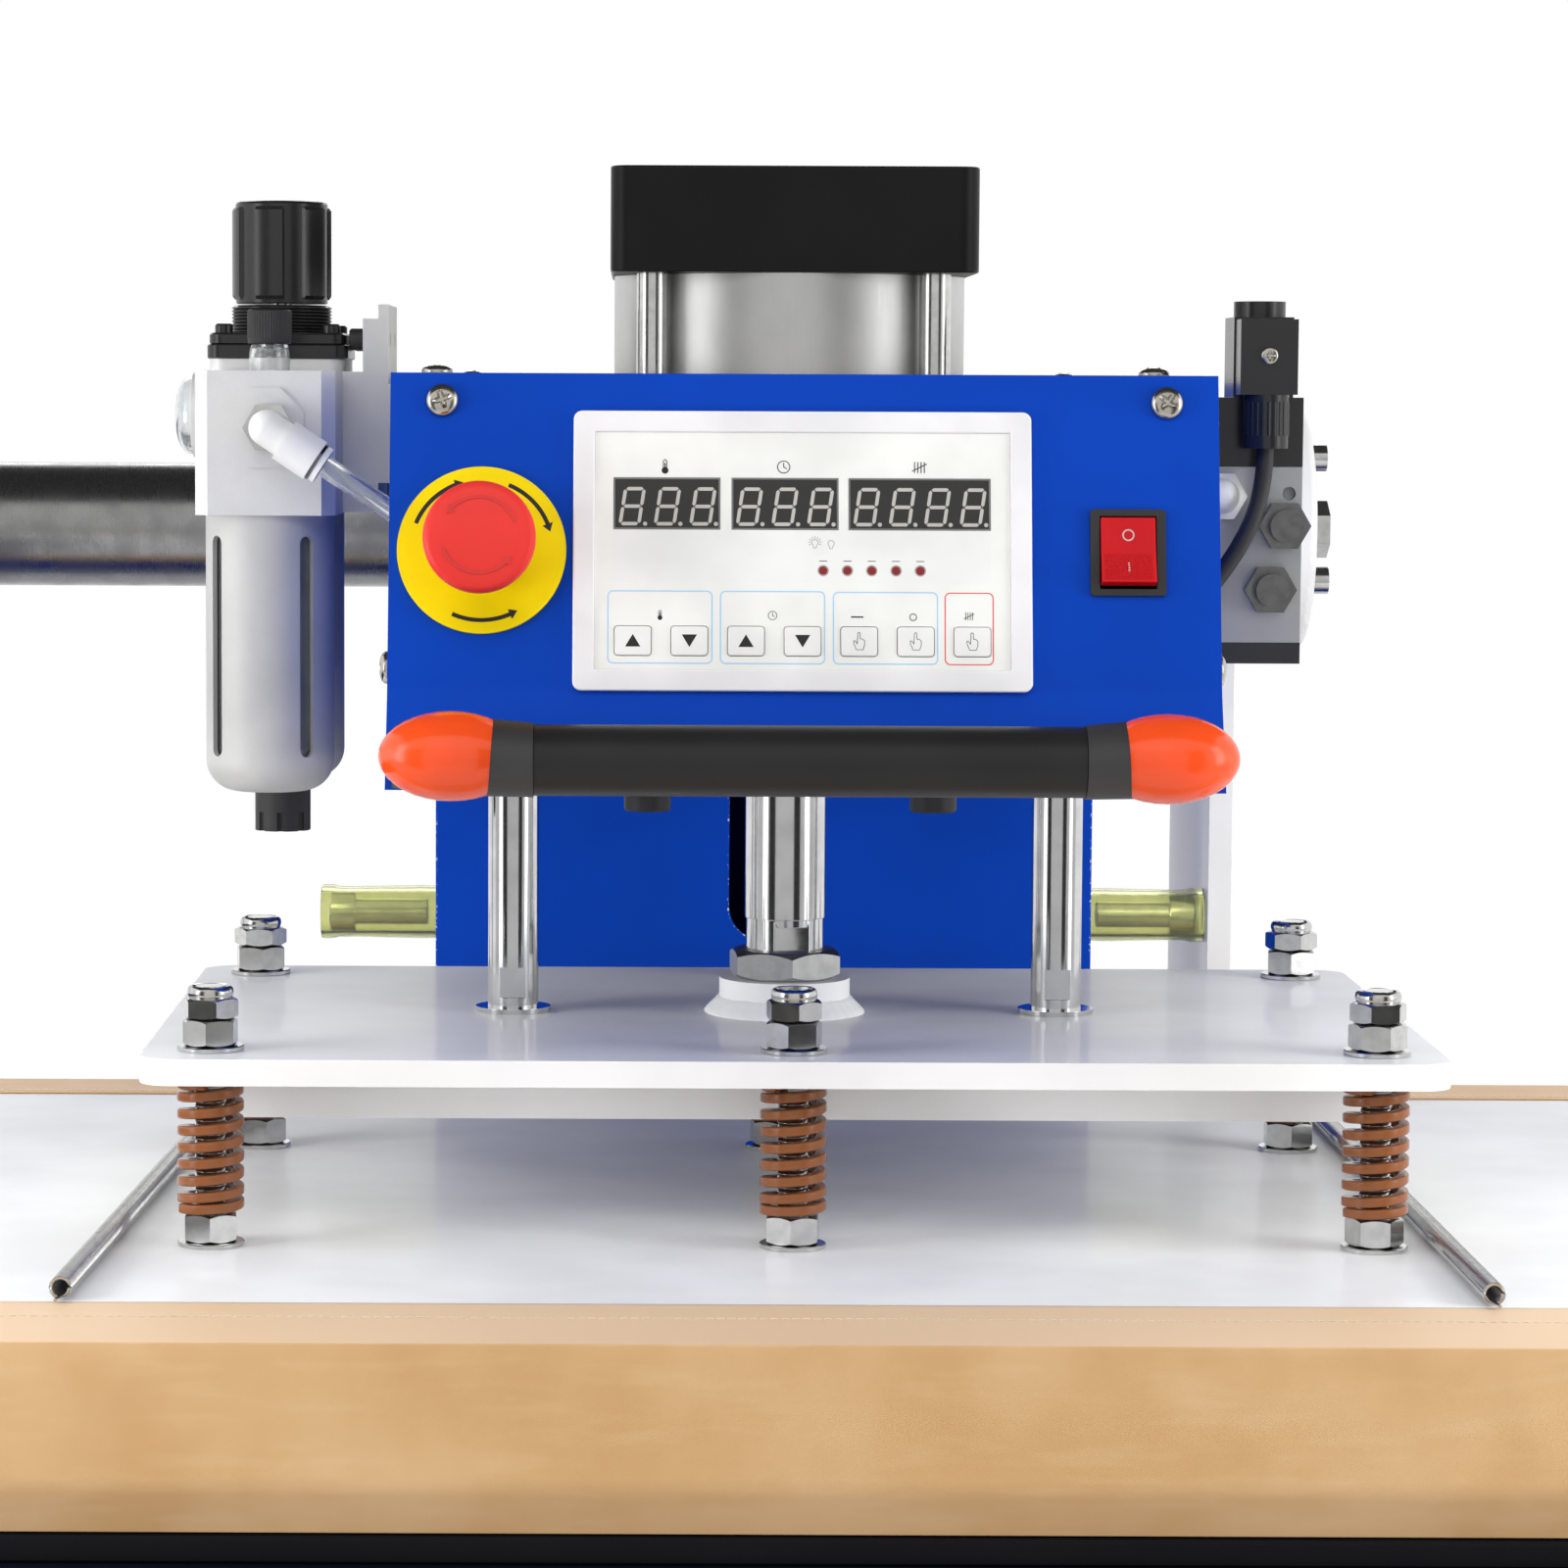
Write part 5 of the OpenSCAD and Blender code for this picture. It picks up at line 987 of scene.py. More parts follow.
# %% Die springs
WIRE_HIGH = 3.7
coiled = [Vector(p) * MM for p in coil(6.6, 0.8, 10.4, WIRE_HIGH, SPRING - 0.1)]
one_spring = Shaper().take(wound(coiled, 4.2, WIRE_HIGH, 0.8, "spring_brown"))
places = on_studs([200, 185, 170, 215, 190, 180], PLATEN_TOP + WASHER + LOW_NUT + 0.1)
springs = Shaper().take(copies(one_spring, places, "spring_brown")).piece(
    "brown_die_springs", "ram", "spring_brown", ["spring_brown"], replaces=("die_springs",), smooth=40)
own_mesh(springs)

# %% [markdown]
# ## Extension springs
# Two long, fine springs lie across the platen and pull the hems of the cloth together. Their turns touch, so from a
# little way off they read as a ribbed bar; each end turns out into a hook that passes under the hem.

# %% Extension springs
LONG, PITCH, COIL_R, WIRE_D, COIL_UP, TURN_STEPS = 478.0, 1.5, 3.5, 1.35, 4.55, 14
both = Shaper()
for x, angle in ((-261, -2.6), (243, 0.3)):
    base = PRESS @ shift(x, -225, PLATEN_TOP) @ turn(angle, "Z") @ turn(-90, "X")
    spots = []
    for step in range(int(LONG / PITCH) * TURN_STEPS + 1):
        x, y = polar(COIL_R, 2 * math.pi * step / TURN_STEPS, 0, -COIL_UP)
        spots.append(base @ Vector((x, y, PITCH * step / TURN_STEPS)))
    both.take(wound(spots, WIRE_D, WIRE_D, 0.35, "spring_wire"))
    for end, sign in ((0.0, -1), (LONG, 1)):
        hook = [(0, COIL_R - COIL_UP - 0.7, end - sign), (0, COIL_R - COIL_UP - 0.6, end + sign * 2),
                (0, -1.6, end + sign * 5), (0, -2.1, end + sign * 8), (0, -2.1, end + sign * 10)]
        both.tube(hook, 0.68, base, sides=10)
both.piece("extension_springs", "platen", "spring_wire", ["spring_wire"], replaces=("tension_springs",), smooth=50)

# %% [markdown]
# ## Cloth cover
# A coated glass cloth wraps the platen: a hem on top, the face down the front, a slant where the sides of the platen
# draw in, then flat below the heater. It is one thin sheet that follows that line, with slack wrinkles where it isn't
# pulled tight. Its own map gives the distance along and across the cloth in metres, for the weave.

# %% The cloth's line and map
FRONT_HEM, BACK_HEM, HALF, SIDE = 70.0, 42.0, 300.0, 6.0
LOW = PLATEN_LOW + 18.0
TURN = HALF - 8.0
OFF = 0.55
side_line = [(HALF + 0.3, PLATEN_TOP + OFF), (HALF + OFF, PLATEN_TOP), (HALF + OFF, LOW - 0.5),
             (TURN + OFF, PLATEN_LOW + 0.4)]
cloth_line = [(-HALF + FRONT_HEM, PLATEN_TOP + OFF)] + [(-y, z) for y, z in side_line] + side_line[::-1]
cloth_line.append((HALF - BACK_HEM, PLATEN_TOP + OFF))


def evenly(line, gap):
    """Points along a line at most gap apart, its corners kept."""
    spots = [line[0]]
    for a, b in zip(line, line[1:]):
        count = max(1, math.ceil(math.dist(a, b) / gap))
        spots += [tuple(a[i] + (b[i] - a[i]) * k / count for i in range(2)) for k in range(1, count + 1)]
    return spots


def slack(x, along, facing):
    """How far the cloth stands off, in millimetres: soft folds near the corners and slow waves between."""
    spot = Vector((x * 0.011, along * 0.006, facing))
    wave = 0.30 * noise.noise(spot) + 0.18 * noise.noise(spot * 3.1)
    for at, lean, depth in ((-238, 0.15, 0.5), (-214, -0.3, 0.35), (118, 0.25, 0.4), (152, -0.2, 0.35),
                            (246, 0.3, 0.5), (-150, 0.1, 0.2), (30, -0.1, 0.15)):
        wave += depth * math.exp(-(((x - at - lean * (along - 110)) / 6.0) ** 2))
    return wave


outline_points = evenly(cloth_line, 4.0)
run = [0.0]
for a, b in zip(outline_points, outline_points[1:]):
    run.append(run[-1] + math.dist(a, b))
cloth = bmesh.new()
uv = cloth.loops.layers.uv.new("cloth")
PLATEN_HALF, columns = 400.0, 198
half_wide = PLATEN_HALF - SIDE
grid = []
for i in range(columns + 1):
    x = -half_wide + 2 * half_wide * i / columns
    row = []
    for (y, z), along in zip(outline_points, run):
        stand = 0.0
        if y < -HALF - 0.4 and LOW < z < PLATEN_TOP - 2:
            share = min((z - LOW) / 12, (PLATEN_TOP - z) / 12, 1)
            stand = max(-0.25, min(0.42, slack(x, along, 1))) * share
        row.append(cloth.verts.new(PRESS @ Vector((x, y - stand, z))))
    grid.append(row)
for i in range(columns):
    for j in range(len(run) - 1):
        face = cloth.faces.new((grid[i][j], grid[i + 1][j], grid[i + 1][j + 1], grid[i][j + 1]))
        for loop, (p, q) in zip(face.loops, ((i, j), (i + 1, j), (i + 1, j + 1), (i, j + 1))):
            loop[uv].uv = (2 * half_wide * p / columns * MM, run[q] * MM)
bmesh.ops.recalc_face_normals(cloth, faces=cloth.faces)
on_top = [f for f in cloth.faces if f.calc_center_median().z > (PLATEN_TOP + 0.2) * MM and abs(f.normal.z) > 0.9]
if sum(f.normal.z for f in on_top) < 0:
    bmesh.ops.reverse_faces(cloth, faces=cloth.faces)
print("cloth is", round(run[-1]), "mm long across", 2 * half_wide, "mm")

# %% The cloth's finish
woven = Paint("ptfe_cloth", Sheen_Weight=0.12, Sheen_Roughness=0.4)
spot = woven.node("UVMap", {"uv_map": "cloth"})
parts = woven.node("SeparateXYZ", {}, {0: spot}).socket.node
across, along = Wire(woven.tree, parts.outputs[0]), Wire(woven.tree, parts.outputs[1])
YARN = 0.9 * MM
warp, weft = ((way * (2 * math.pi / YARN)).sine() * 0.5 + 0.5 for way in (across, along))
weave = warp * weft + (1 - warp) * (1 - weft)
blotch, streak = woven.grain(60, 4), woven.grain(6, 3, (6, 1, 1))
base_tone = woven.mix(blotch.between(0.3, 0.7), ink(207, 165, 115), ink(219, 180, 133))
base_tone = woven.mix(weave * 0.16, base_tone, ink(176, 134, 88))
base_tone = woven.mix(streak.between(0.45, 0.75) * 0.18, base_tone, ink(232, 200, 158))
# Painted sheen: the hem on top of the platen is given a paler, greyer tone for the light on its top face.
hem_top_sheen_share = along.between((FRONT_HEM - 1) * MM, (FRONT_HEM - 0.4) * MM)
tone = woven.mix(hem_top_sheen_share, woven.mix(weave * 0.06, ink(222, 188, 148), ink(202, 166, 126)), base_tone)
woven.shader.inputs["Specular IOR Level"].default_value = 0.15
FINISH["ptfe_cloth"] = woven.done(Base_Color=tone, Roughness=0.42 + (blotch - 0.5) * 0.14 + weave * 0.08,
                                  Normal=woven.bump(weave + streak * 0.8, 0.05))

# %% The cloth as a piece
sheet = finish_mesh(cloth, "coated_cloth", "platen", "ptfe_cloth", ["ptfe_cloth"], replaces=("cloth_cover",),
                    smooth=60)
solid = sheet.modifiers.new("thickness", "SOLIDIFY")
solid.thickness = 0.3 * MM
solid.offset = 0
stitch = Shaper().tube([(-1.5, 0, -0.3), (-1.1, 0, 0.1), (0, 0, 0.22), (1.1, 0, 0.1), (1.5, 0, -0.3)], 0.22, HERE,
                       sides=6)
STITCH, STITCHES, THREAD_UP = 3.7, 213, 0.72
seams = [PRESS @ shift(STITCH * k - 392, y + wander * math.sin(k * 0.13), PLATEN_TOP + THREAD_UP)
         for y, wander in ((44 - HALF, 0.25), (HALF - 34, 0)) for k in range(STITCHES)]
thread = Shaper().take(copies(stitch, seams, "thread")).piece(
    "hem_stitches", "platen", "ptfe_cloth", ["thread"], smooth=60)

# %% [markdown]
# ## Silicone pads
# A sheet of black silicone foam lies on each table. Its edges are cut and a little crowned, and its skin is finely
# pitted.

# %% Silicone pads
PAD_WIDE, PAD_DEEP, PAD_CORNER, STATIONS = 790, 590, 8, (0, -840)
PAD_EDGE = ((1.2, 820.0), (0.2, 821.2), (0.0, 824.5), (0.3, 828.2), (1.4, 829.6), (4.0, 830.0))
pads = Shaper()
for centre in STATIONS:
    pads.stack([lifted(rounded(PAD_WIDE - 2 * inset, PAD_DEEP - 2 * inset, PAD_CORNER - min(inset, 4), 6), z)
                for inset, z in PAD_EDGE], PRESS @ shift(centre))
pads_piece = pads.piece("silicone_pads_cut", "base", "silicone", ["silicone"], replaces=("silicone_pads",))

# %% [markdown]
# ## The printed film
# The film is white, with three dark windows, five small lamps, seven keys and thin coloured frames. Every mark is a
# solid a few hundredths of a millimetre thick. Seven-segment digits repeat ten times, so Geometry Nodes copies one.

# %% Inks
finishes(moulded, {name: (colour, dict(rough=rough, rub=1.0, grit=0.2, depth=0.002)) for name, colour, rough in (
    ("ink_black", grey(0.012), 0.45), ("ink_blue", ink(150, 200, 238), 0.45), ("ink_red", ink(222, 74, 70), 0.45),
    ("window_dark", (0.021, 0.021, 0.02, 1), 0.16), ("window_rim", ink(112, 114, 112), 0.35),
    ("segment_grey", ink(188, 184, 178), 0.4), ("lamp_red", ink(128, 30, 32), 0.15), ("lamp_rim", ink(96, 60, 60), 0.3),
    ("key_line", ink(168, 160, 150), 0.4), ("film_grey", ink(233, 234, 232), 0.42),
    ("mark_white", (0.8, 0.78, 0.78, 1), 0.4))})
INKS = ["ink_black", "ink_blue", "ink_red", "window_rim", "segment_grey", "lamp_rim", "film_grey", "window_dark",
        "lamp_red"]
BLACK, BLUE_LINE, RED_LINE, RIM, SEGMENT, LAMP_RIM, FILM_GREY, DARK, LAMP = range(len(INKS))

# %% Film, windows and lamps
PANEL = on_panel(CONTROL_X, ROW_DOWN)
WINDOWS = [(-48.1, 38.0), (-6.2, 38.0), (41.5, 50.5)]
WINDOW_UP, WINDOW_HIGH = 16.9, 18.8
INK_LOW, INK_HIGH, GLASS, DIGIT_LOW, LAMP_LOW = 1.97, 2.05, 1.86, 1.85, 1.9
dress("control_overlay", ["film_white"], bevel=0.12)
face = Shaper()
for x, wide in WINDOWS:
    place = PANEL @ shift(x, WINDOW_UP)
    face.band(rounded(wide - 0.1, WINDOW_HIGH - 0.1, 0.3), rounded(wide - 1.3, WINDOW_HIGH - 1.3, 0.2), 1.6, 2.04,
              place, RIM)
    face.prism(rounded(wide - 1.0, WINDOW_HIGH - 1.0, 0.3), 1.5, GLASS, place, DARK)
face.band(rounded(147.3, 85.2, 0.1), rounded(145, 83, 0.1), 1.2, 1.9, PANEL, FILM_GREY)
face.prism(rounded(134, 18.6, 1.5), INK_LOW, 2.012, PANEL @ shift(-0.5, -2.2), FILM_GREY)


def segment(x, y, long, upright, lean=0.15):
    half, thick = long / 2, 0.62
    line = [(-half, 0), (-half + thick, thick), (half - thick, thick), (half, 0), (half - thick, -thick),
            (-half + thick, -thick)]
    if upright:
        line = [(-b, a) for a, b in line]
    return [(x + a + lean * (y + b), y + b) for a, b in line]


digit = Shaper()
for y in (6.3, 0, -6.3):
    digit.prism(segment(0, y, 6.1, False), 0, 0.06, HERE)
for x, y in ((-3.3, 3.15), (3.3, 3.15), (-3.3, -3.15), (3.3, -3.15)):
    digit.prism(segment(x, y, 5.9, True), 0, 0.06, HERE)
digit.prism([(4.6 + x, y - 6.3) for x, y, z in around(0.75, 0, 16)], 0, 0.06, HERE)
digit_spots = [PANEL @ shift(x, 15.9, DIGIT_LOW)
               for x in (-60.4, -47.9, -35.3, -18.8, -6.2, 6.4, 22.8, 35.4, 47.9, 60.5)]
face.take(copies(digit, digit_spots, "segment_grey"), SEGMENT)
LAMP_X, LAMP_Y = [7.3 + 8.6 * k for k in range(5)], -7
for x in LAMP_X:
    place = PANEL @ shift(x, LAMP_Y)
    face.lathe([(1.75, LAMP_LOW), (1.95, LAMP_LOW), (1.95, INK_HIGH), (1.75, INK_HIGH)], place, LAMP_RIM, 24, loop=True)
    face.lathe([(0, LAMP_LOW), (1.75, LAMP_LOW), (1.75, 2.0), (1.1, 2.06), (0, 2.09)], place, LAMP, 24)
for x, y, wide, high, colour in ((-50.4, -27.5, 37.2, 26.2, BLUE_LINE), (-10.6, -27.5, 37.2, 26.2, BLUE_LINE),
                                 (29.3, -27.6, 37.2, 26, BLUE_LINE), (58.9, -27.7, 17.4, 26, RED_LINE)):
    face.band(rounded(wide, high, 2), rounded(wide - 0.8, high - 0.8, 1.6), INK_LOW, INK_HIGH, PANEL @ shift(x, y),
              colour)

# %% [markdown]
# The signs above the windows and keys say what they do without words: a thermometer, a clock and a tally. Two small
# lamp signs stand above the row of lamps, lit and unlit.

# %% Signs
def stroke(shaper, points, wide, place, finish=0, low=INK_LOW, high=INK_HIGH, closed=False):
    """A line of that width through flat points."""
    ends = points[1:] + points[:1] if closed else points[1:]
    for (ax, ay), (bx, by) in zip(points, ends):
        long = math.hypot(bx - ax, by - ay)
        lean = math.degrees(math.atan2(by - ay, bx - ax))
        shaper.prism(rounded(long + wide, wide, wide * 0.45, 2), low, high,
                     place @ shift((ax + bx) / 2, (ay + by) / 2) @ turn(lean, "Z"), finish)


def ring_points(radius, x=0.0, y=0.0, start=0.0, end=360.0, steps=20):
    return [polar(radius, math.radians(start + (end - start) * k / steps), x, y) for k in range(steps + 1)]


def scaled(points, size):
    return [(x * size, y * size) for x, y in points]


def thermometer(shaper, place, size=1.0):
    glass = [(-0.55, -0.4), (-0.55, 1.7), (0, 2.25), (0.55, 1.7), (0.55, -0.4)]
    stroke(shaper, scaled(glass, size), 0.26 * size, place)
    shaper.prism(ring_points(1.05 * size, 0, -1.2 * size)[:-1], INK_LOW, INK_HIGH, place)
    stroke(shaper, [(0, -size), (0, size)], 0.4 * size, place)


def clock(shaper, place, size=1.0):
    stroke(shaper, ring_points(1.9 * size), 0.28 * size, place)
    stroke(shaper, scaled([(0, 1.2), (0, 0), (0.85, -0.5)], size), 0.28 * size, place)


def tally(shaper, place, size=1.0):
    for k in range(4):
        stroke(shaper, scaled([(k - 1.5, -1.6), (k - 1.5, 1.6)], size), 0.3 * size, place)
    stroke(shaper, scaled([(-2.2, -1.1), (2.2, 1.1)], size), 0.3 * size, place)


def bulb(shaper, place, rays):
    """A lamp, lit when it has rays."""
    stroke(shaper, ring_points(1.1, 0, 0.4, -50, 230, 14), 0.13, place)
    stroke(shaper, [(-0.7, -0.45), (-0.4, -1.5), (0.4, -1.5), (0.7, -0.45)], 0.13, place)
    for k in range(rays):
        a = math.radians(-20 + 220 * k / (rays - 1))
        stroke(shaper, [polar(r, a, 0, 0.4) for r in (1.5, 2.3)], 0.13, place)


for x, sign in ((-48.8, thermometer), (-6.7, clock), (41.5, tally)):
    sign(face, PANEL @ shift(x, 30.2), 1.15)
for x, sign in ((-50.4, thermometer), (-10.6, clock), (58.9, tally)):
    sign(face, PANEL @ shift(x, -23.2), 0.8)
stroke(face, [(17.3, -23.6), (21.3, -23.6)], 0.5, PANEL)
stroke(face, ring_points(1.2, 39.1, -23.6), 0.3, PANEL)
bulb(face, PANEL @ shift(4.4, 2.6), 9)
bulb(face, PANEL @ shift(10.1, 2.3), 0)
for x in LAMP_X:
    stroke(face, [(x - 1.3, -3.6), (x + 1.3, -3.6)], 0.28, PANEL)
face.piece("printed_marks", "carriage", "overlay_film", INKS, smooth=30)

# %% Keys
KEY_Z = 2.7


def hand(shaper, place):
    """A pointing hand, drawn as one thin line."""
    line = [(-0.5, 3.0), (-0.1, 3.2), (0.3, 3.0), (0.35, 0.9), (1.2, 0.8), (1.9, 0.2), (1.9, -1.4), (1.3, -3.0),
            (-1.0, -3.0), (-1.9, -0.9), (-2.0, 0.2), (-1.5, 0.2), (-0.7, -0.9), (-0.6, 0.9)]
    stroke(shaper, line, 0.2, place, 1, KEY_Z - 0.03, KEY_Z + 0.04, closed=True)


KEY_GAP, KEY_Y, TRIANGLES = 20, -32.4, 4
for k in range(7):
    key = Shaper()
    place = PANEL @ shift((k - 3) * KEY_GAP, KEY_Y)
    key.stack(rounded_rings(12.8, 10.4, 1.2, ((0, 1.1), (0, 2.3), (0.12, 2.56), (0.4, 2.68), (0.8, KEY_Z))), place)
    key.band(rounded(12.6, 10.2, 1.15), rounded(12.2, 9.8, 1.0), 2.2, 2.5, place, 2)
    if k < TRIANGLES:
        up = 1 if k % 2 == 0 else -1
        key.prism([(-2.7, -2.2 * up), (2.7, -2.2 * up), (0, 2.3 * up)][::up], KEY_Z - 0.03, KEY_Z + 0.04, place, 1)
    else:
        hand(key, place)
    key.piece(f"key_{k + 1}_printed", f"key_{k + 1}_pad", "key_film", ["key_white", "ink_black", "key_line"],
              replaces=(f"key_{k + 1}",), smooth=30)

# %% [markdown]
# ## Stop button
# A yellow plate, a black collar and a red mushroom head that latches when pushed and lets go when twisted. The head is
# turned as one lathe profile; its two raised arrows show the twist. The plate has plain arrows and no words.

# %% Stop button
dress("estop_ring", ["ring_yellow"], bevel=0.4)
STOP = on_panel(STOP_X, ROW_DOWN)


def arrow_arc(shaper, radius, start, end, wide, low, high, place, finish=0, head=2.6):
    """A curved arrow from start to end, in degrees, with its head at the end."""
    steps = 18
    outer = ring_points(radius + wide / 2, 0, 0, start, end, steps)
    inner = ring_points(radius - wide / 2, 0, 0, start, end, steps)
    shaper.stack([[(*inner[k], low), (*outer[k], low), (*outer[k], high), (*inner[k], high)]
                  for k in range(steps + 1)], place, finish)
    sign = 1 if end > start else -1
    half, base = wide * head / 2, math.radians(end)
    tip = base + sign * 1.5 * half / radius
    shaper.prism([polar(radius, tip), polar(radius + half, base), polar(radius - half, base)], low, high, place, finish)


ARROWS_R, RING_TOP = 25.2, 1.5
marks = Shaper()
for start, end in ((158, 112), (68, 22), (246, 294)):
    arrow_arc(marks, ARROWS_R, start, end, 1.5, RING_TOP - 0.03, RING_TOP + 0.05, STOP)
marks.piece("ring_arrows", "carriage", "ring_yellow", ["ink_black"], smooth=30)
HEAD = STOP @ shift(z=15)
button = Shaper().lathe([(0, 9.25), (6.05, 9.25), (6.05, 0), (14.4, 0), (15.0, 0.4), (15.8, 2.0), (17.6, 5.6),
                         (19.0, 8.4), (19.6, 9.6), (19.8, 10.6), (19.8, 12.8), (19.6, 13.9), (19.0, 14.9),
                         (18.0, 15.6), (16.6, 16.0), (12, 16.4), (6, 16.6), (0, 16.7)], HEAD, sides=128)
for start in (20, 200):
    arrow_arc(button, 13.4, start, start + 115, 1.1, 16.0, 16.62, HEAD, 1, head=3.4)
button.piece("stop_mushroom", "estop_head", "mushroom_red", ["mushroom_red", "mushroom_dark"],
             replaces=("estop_mushroom",), smooth=50)

# %% [markdown]
# ## Power switch
# The rocker is see-through red plastic over a dark body. Its marks are a ring and a bar, and its lower half has a grid
# of small domes for the finger.

# %% Power switch
dress("power_rocker", ["rocker_red"], bevel=0.5, segments=3)
ROCKER = on_panel(ROCKER_X, ROW_DOWN) @ shift(z=-0.5) @ turn(-9, "X")
SLOPE = math.degrees(math.atan2(1.2, 12.1))
upper_half, lower_half = (ROCKER @ shift(z=3.4) @ turn(slope, "X") for slope in (SLOPE, -SLOPE))
signs = Shaper()
stroke(signs, ring_points(1.9, 0, 5.6, steps=28), 0.5, upper_half, 0, -0.03, 0.05)
stroke(signs, [(0, -4.6), (0, -8.2)], 0.55, lower_half, 0, -0.03, 0.05)
dome = Shaper().lathe([(0.34, -0.05), (0.34, 0.05), (0.22, 0.16), (0, 0.2)], HERE, sides=8)
dots = [lower_half @ shift(-8.1 + 0.9 * i, -10.8 + 0.9 * j) for i in range(19) for j in range(11)]
signs.take(copies(dome, dots, "rocker_red"), 1)
signs.piece("switch_marks", "rocker", "rocker_red", ["mark_white", "rocker_red"], smooth=60)

# %% [markdown]
# ## Handle
# A round bar runs between two moulded brackets, and an orange cap closes each end.

# %% Handle
dress("handle_bar", ["bar_black"], bevel=0.5)
dress("handle_brackets", ["bracket_black"], bevel=0.7, segments=3, smooth=40)
dress("handle_caps", ["cap_orange"], bevel=0.5, segments=3, smooth=60)

# %% [markdown]
# ## Air unit
# Two die-cast bodies stand one behind the other. The front one has a raised eight-sided port, the rear one carries a
# black bonnet with a threaded ring and the regulator knob. The cast bodies stay as they are, cut off under the bonnet;
# bonnet, ring and knob are stacked rings, because their outline changes with the angle.

# %% Bodies and bonnet
AIR_X, AIR_FRONT, AIR_REAR = -200.0, -57.0, 5.0
AIR_Z = FLOOR + 92.5
BODY_H = 54.5
CUT_UP = BODY_H + 4.9


def at_unit(y, z=0.0):
    return PRESS @ shift(AIR_X, y, AIR_Z + z)


bodies = cad_copy("air_bodies")
cut_at = (AIR_Z + CUT_UP) * MM
for solid in islands(bodies):
    middle, size = span(solid)
    if size.x < 20:
        bmesh.ops.delete(bodies, geom=solid, context="FACES")
    elif size.z > 60:
        around_cut = solid + list({e for f in solid for e in f.edges}) + list({v for f in solid for v in f.verts})
        made = bmesh.ops.bisect_plane(bodies, geom=around_cut, dist=1e-6, plane_co=(0, 0, cut_at),
                                      plane_no=(0, 0, 1), clear_outer=True)
        rim = [e for e in made["geom_cut"] if isinstance(e, bmesh.types.BMEdge)]
        bmesh.ops.holes_fill(bodies, edges=rim, sides=0)
finish_mesh(bodies, "cast_bodies", "carriage", "unit_alu", ["unit_alu"], bevel=0.7, segments=3,
            replaces=("air_bodies",))

bonnet = Shaper()
place = at_unit(AIR_REAR, CUT_UP)
for side, low, high, inset in ((55, 0, 5.6, 0.5), (53.4, 5.6, 10.1, 0.8)):
    step = ((inset, low), (0, low + 0.4), (0, high - inset), (inset, high))
    bonnet.stack(rounded_rings(side, side, 6, step, 6), place)
corners = [place @ shift(x, y, 9.6) for x in (-21, 21) for y in (-21, 21)]
bonnet.take(copies(socket_screw(7, 4, 4, 4, 3), corners, "black_matt"))
ring = [(16, 9.5), (19.2, 9.5)]
for k in range(8):
    ring += [(18.95, 10.4 + 1.3 * k), (19.75, 10.85 + 1.3 * k), (19.75, 11.15 + 1.3 * k)]
bonnet.lathe(ring + [(19.0, 20.6), (18.2, 21.1), (12, 21.1)], place, sides=72)
bonnet.piece("black_bonnet", "carriage", "black_plastic", ["black_gloss"], smooth=32)


def lobes(angle):
    """The knob's outline: six broad lobes with flat-bottomed recesses between them."""
    off = (angle + 11) % 60
    off = min(off, 60 - off)
    return 18.1 + 1.4 * min(max((off - 11.5) / 1.5, 0), 1)


def soft_lobes(angle):
    return min(lobes(angle), 18.6)


knob = Shaper()
place = at_unit(AIR_REAR, BODY_H + 26.6)
knob_line = [(17.6, 0), (18.0, 0.3), (18.1, 1.6), (soft_lobes, 1.7), (lobes, 3.0), (lobes, 36.4),
             (soft_lobes, 37.6), (18.1, 37.7), (18.1, 38.8), (17.6, 39.6), (16.6, 40.0), (14.6, 40.0), (14.2, 39.7),
             (0, 39.6)]
knob.lathe(knob_line, place, sides=144)
knob.piece("lobed_knob", "regulator_grip", "black_gloss", ["black_gloss"], replaces=("regulator_knob",), smooth=28)
dress("regulator_spindle", ["zinc"], bevel=0.4)

# %% [markdown]
# The front unit has a clear dome with its drip tube inside, and a knurled cap that sets the drip.

# %% Dome and drip cap
place = at_unit(AIR_FRONT, BODY_H)
Shaper().lathe([(2.2, 0.05), (7.8, 0.05), (7.8, 6.5), (7.4, 8.8), (6.8, 10), (2.2, 10), (2.2, 8.6), (5.6, 8.2),
                (6.2, 6.2), (6.2, 1.4), (2.2, 1.2)], place, loop=True, sides=64).piece(
    "drip_dome", "carriage", "clear_bowl", ["clear_dome"], smooth=40)
Shaper().lathe([(0, 0.1), (1.5, 0.1), (1.5, 4.2), (1.1, 5.6), (0.5, 6.2), (0, 6.4)], place, sides=24).piece(
    "drip_tube", "carriage", "clear_bowl", ["clear_dome"], smooth=40)


def waves(radius, depth, count):
    """An outline with that many rounded ribs."""
    return lambda a: radius + depth * math.cos(math.radians(a * count))


knurl = waves(8.35, 0.15, 48)
Shaper().lathe([(1.9, -4.6), (1.9, 0), (8.0, 0), (8.3, 0.3), (8.3, 1.8), (knurl, 2.0), (knurl, 12.2), (8.2, 12.5),
                (7.7, 13.0), (0, 13.0)], at_unit(AIR_FRONT, BODY_H + 10.3), sides=288).piece(
    "knurled_drip_cap", "drip_screw", "black_plastic", ["black_matt"], replaces=("drip_cap",), smooth=60)

# %% [markdown]
# ## Bowls, gauge and drain
# Clear bowls sit inside slotted metal guards. The gauge is seen edge-on from the front, but its face is made in full: a
# dial with ticks and longer ticks where numbers would be, a needle, and a domed lens.

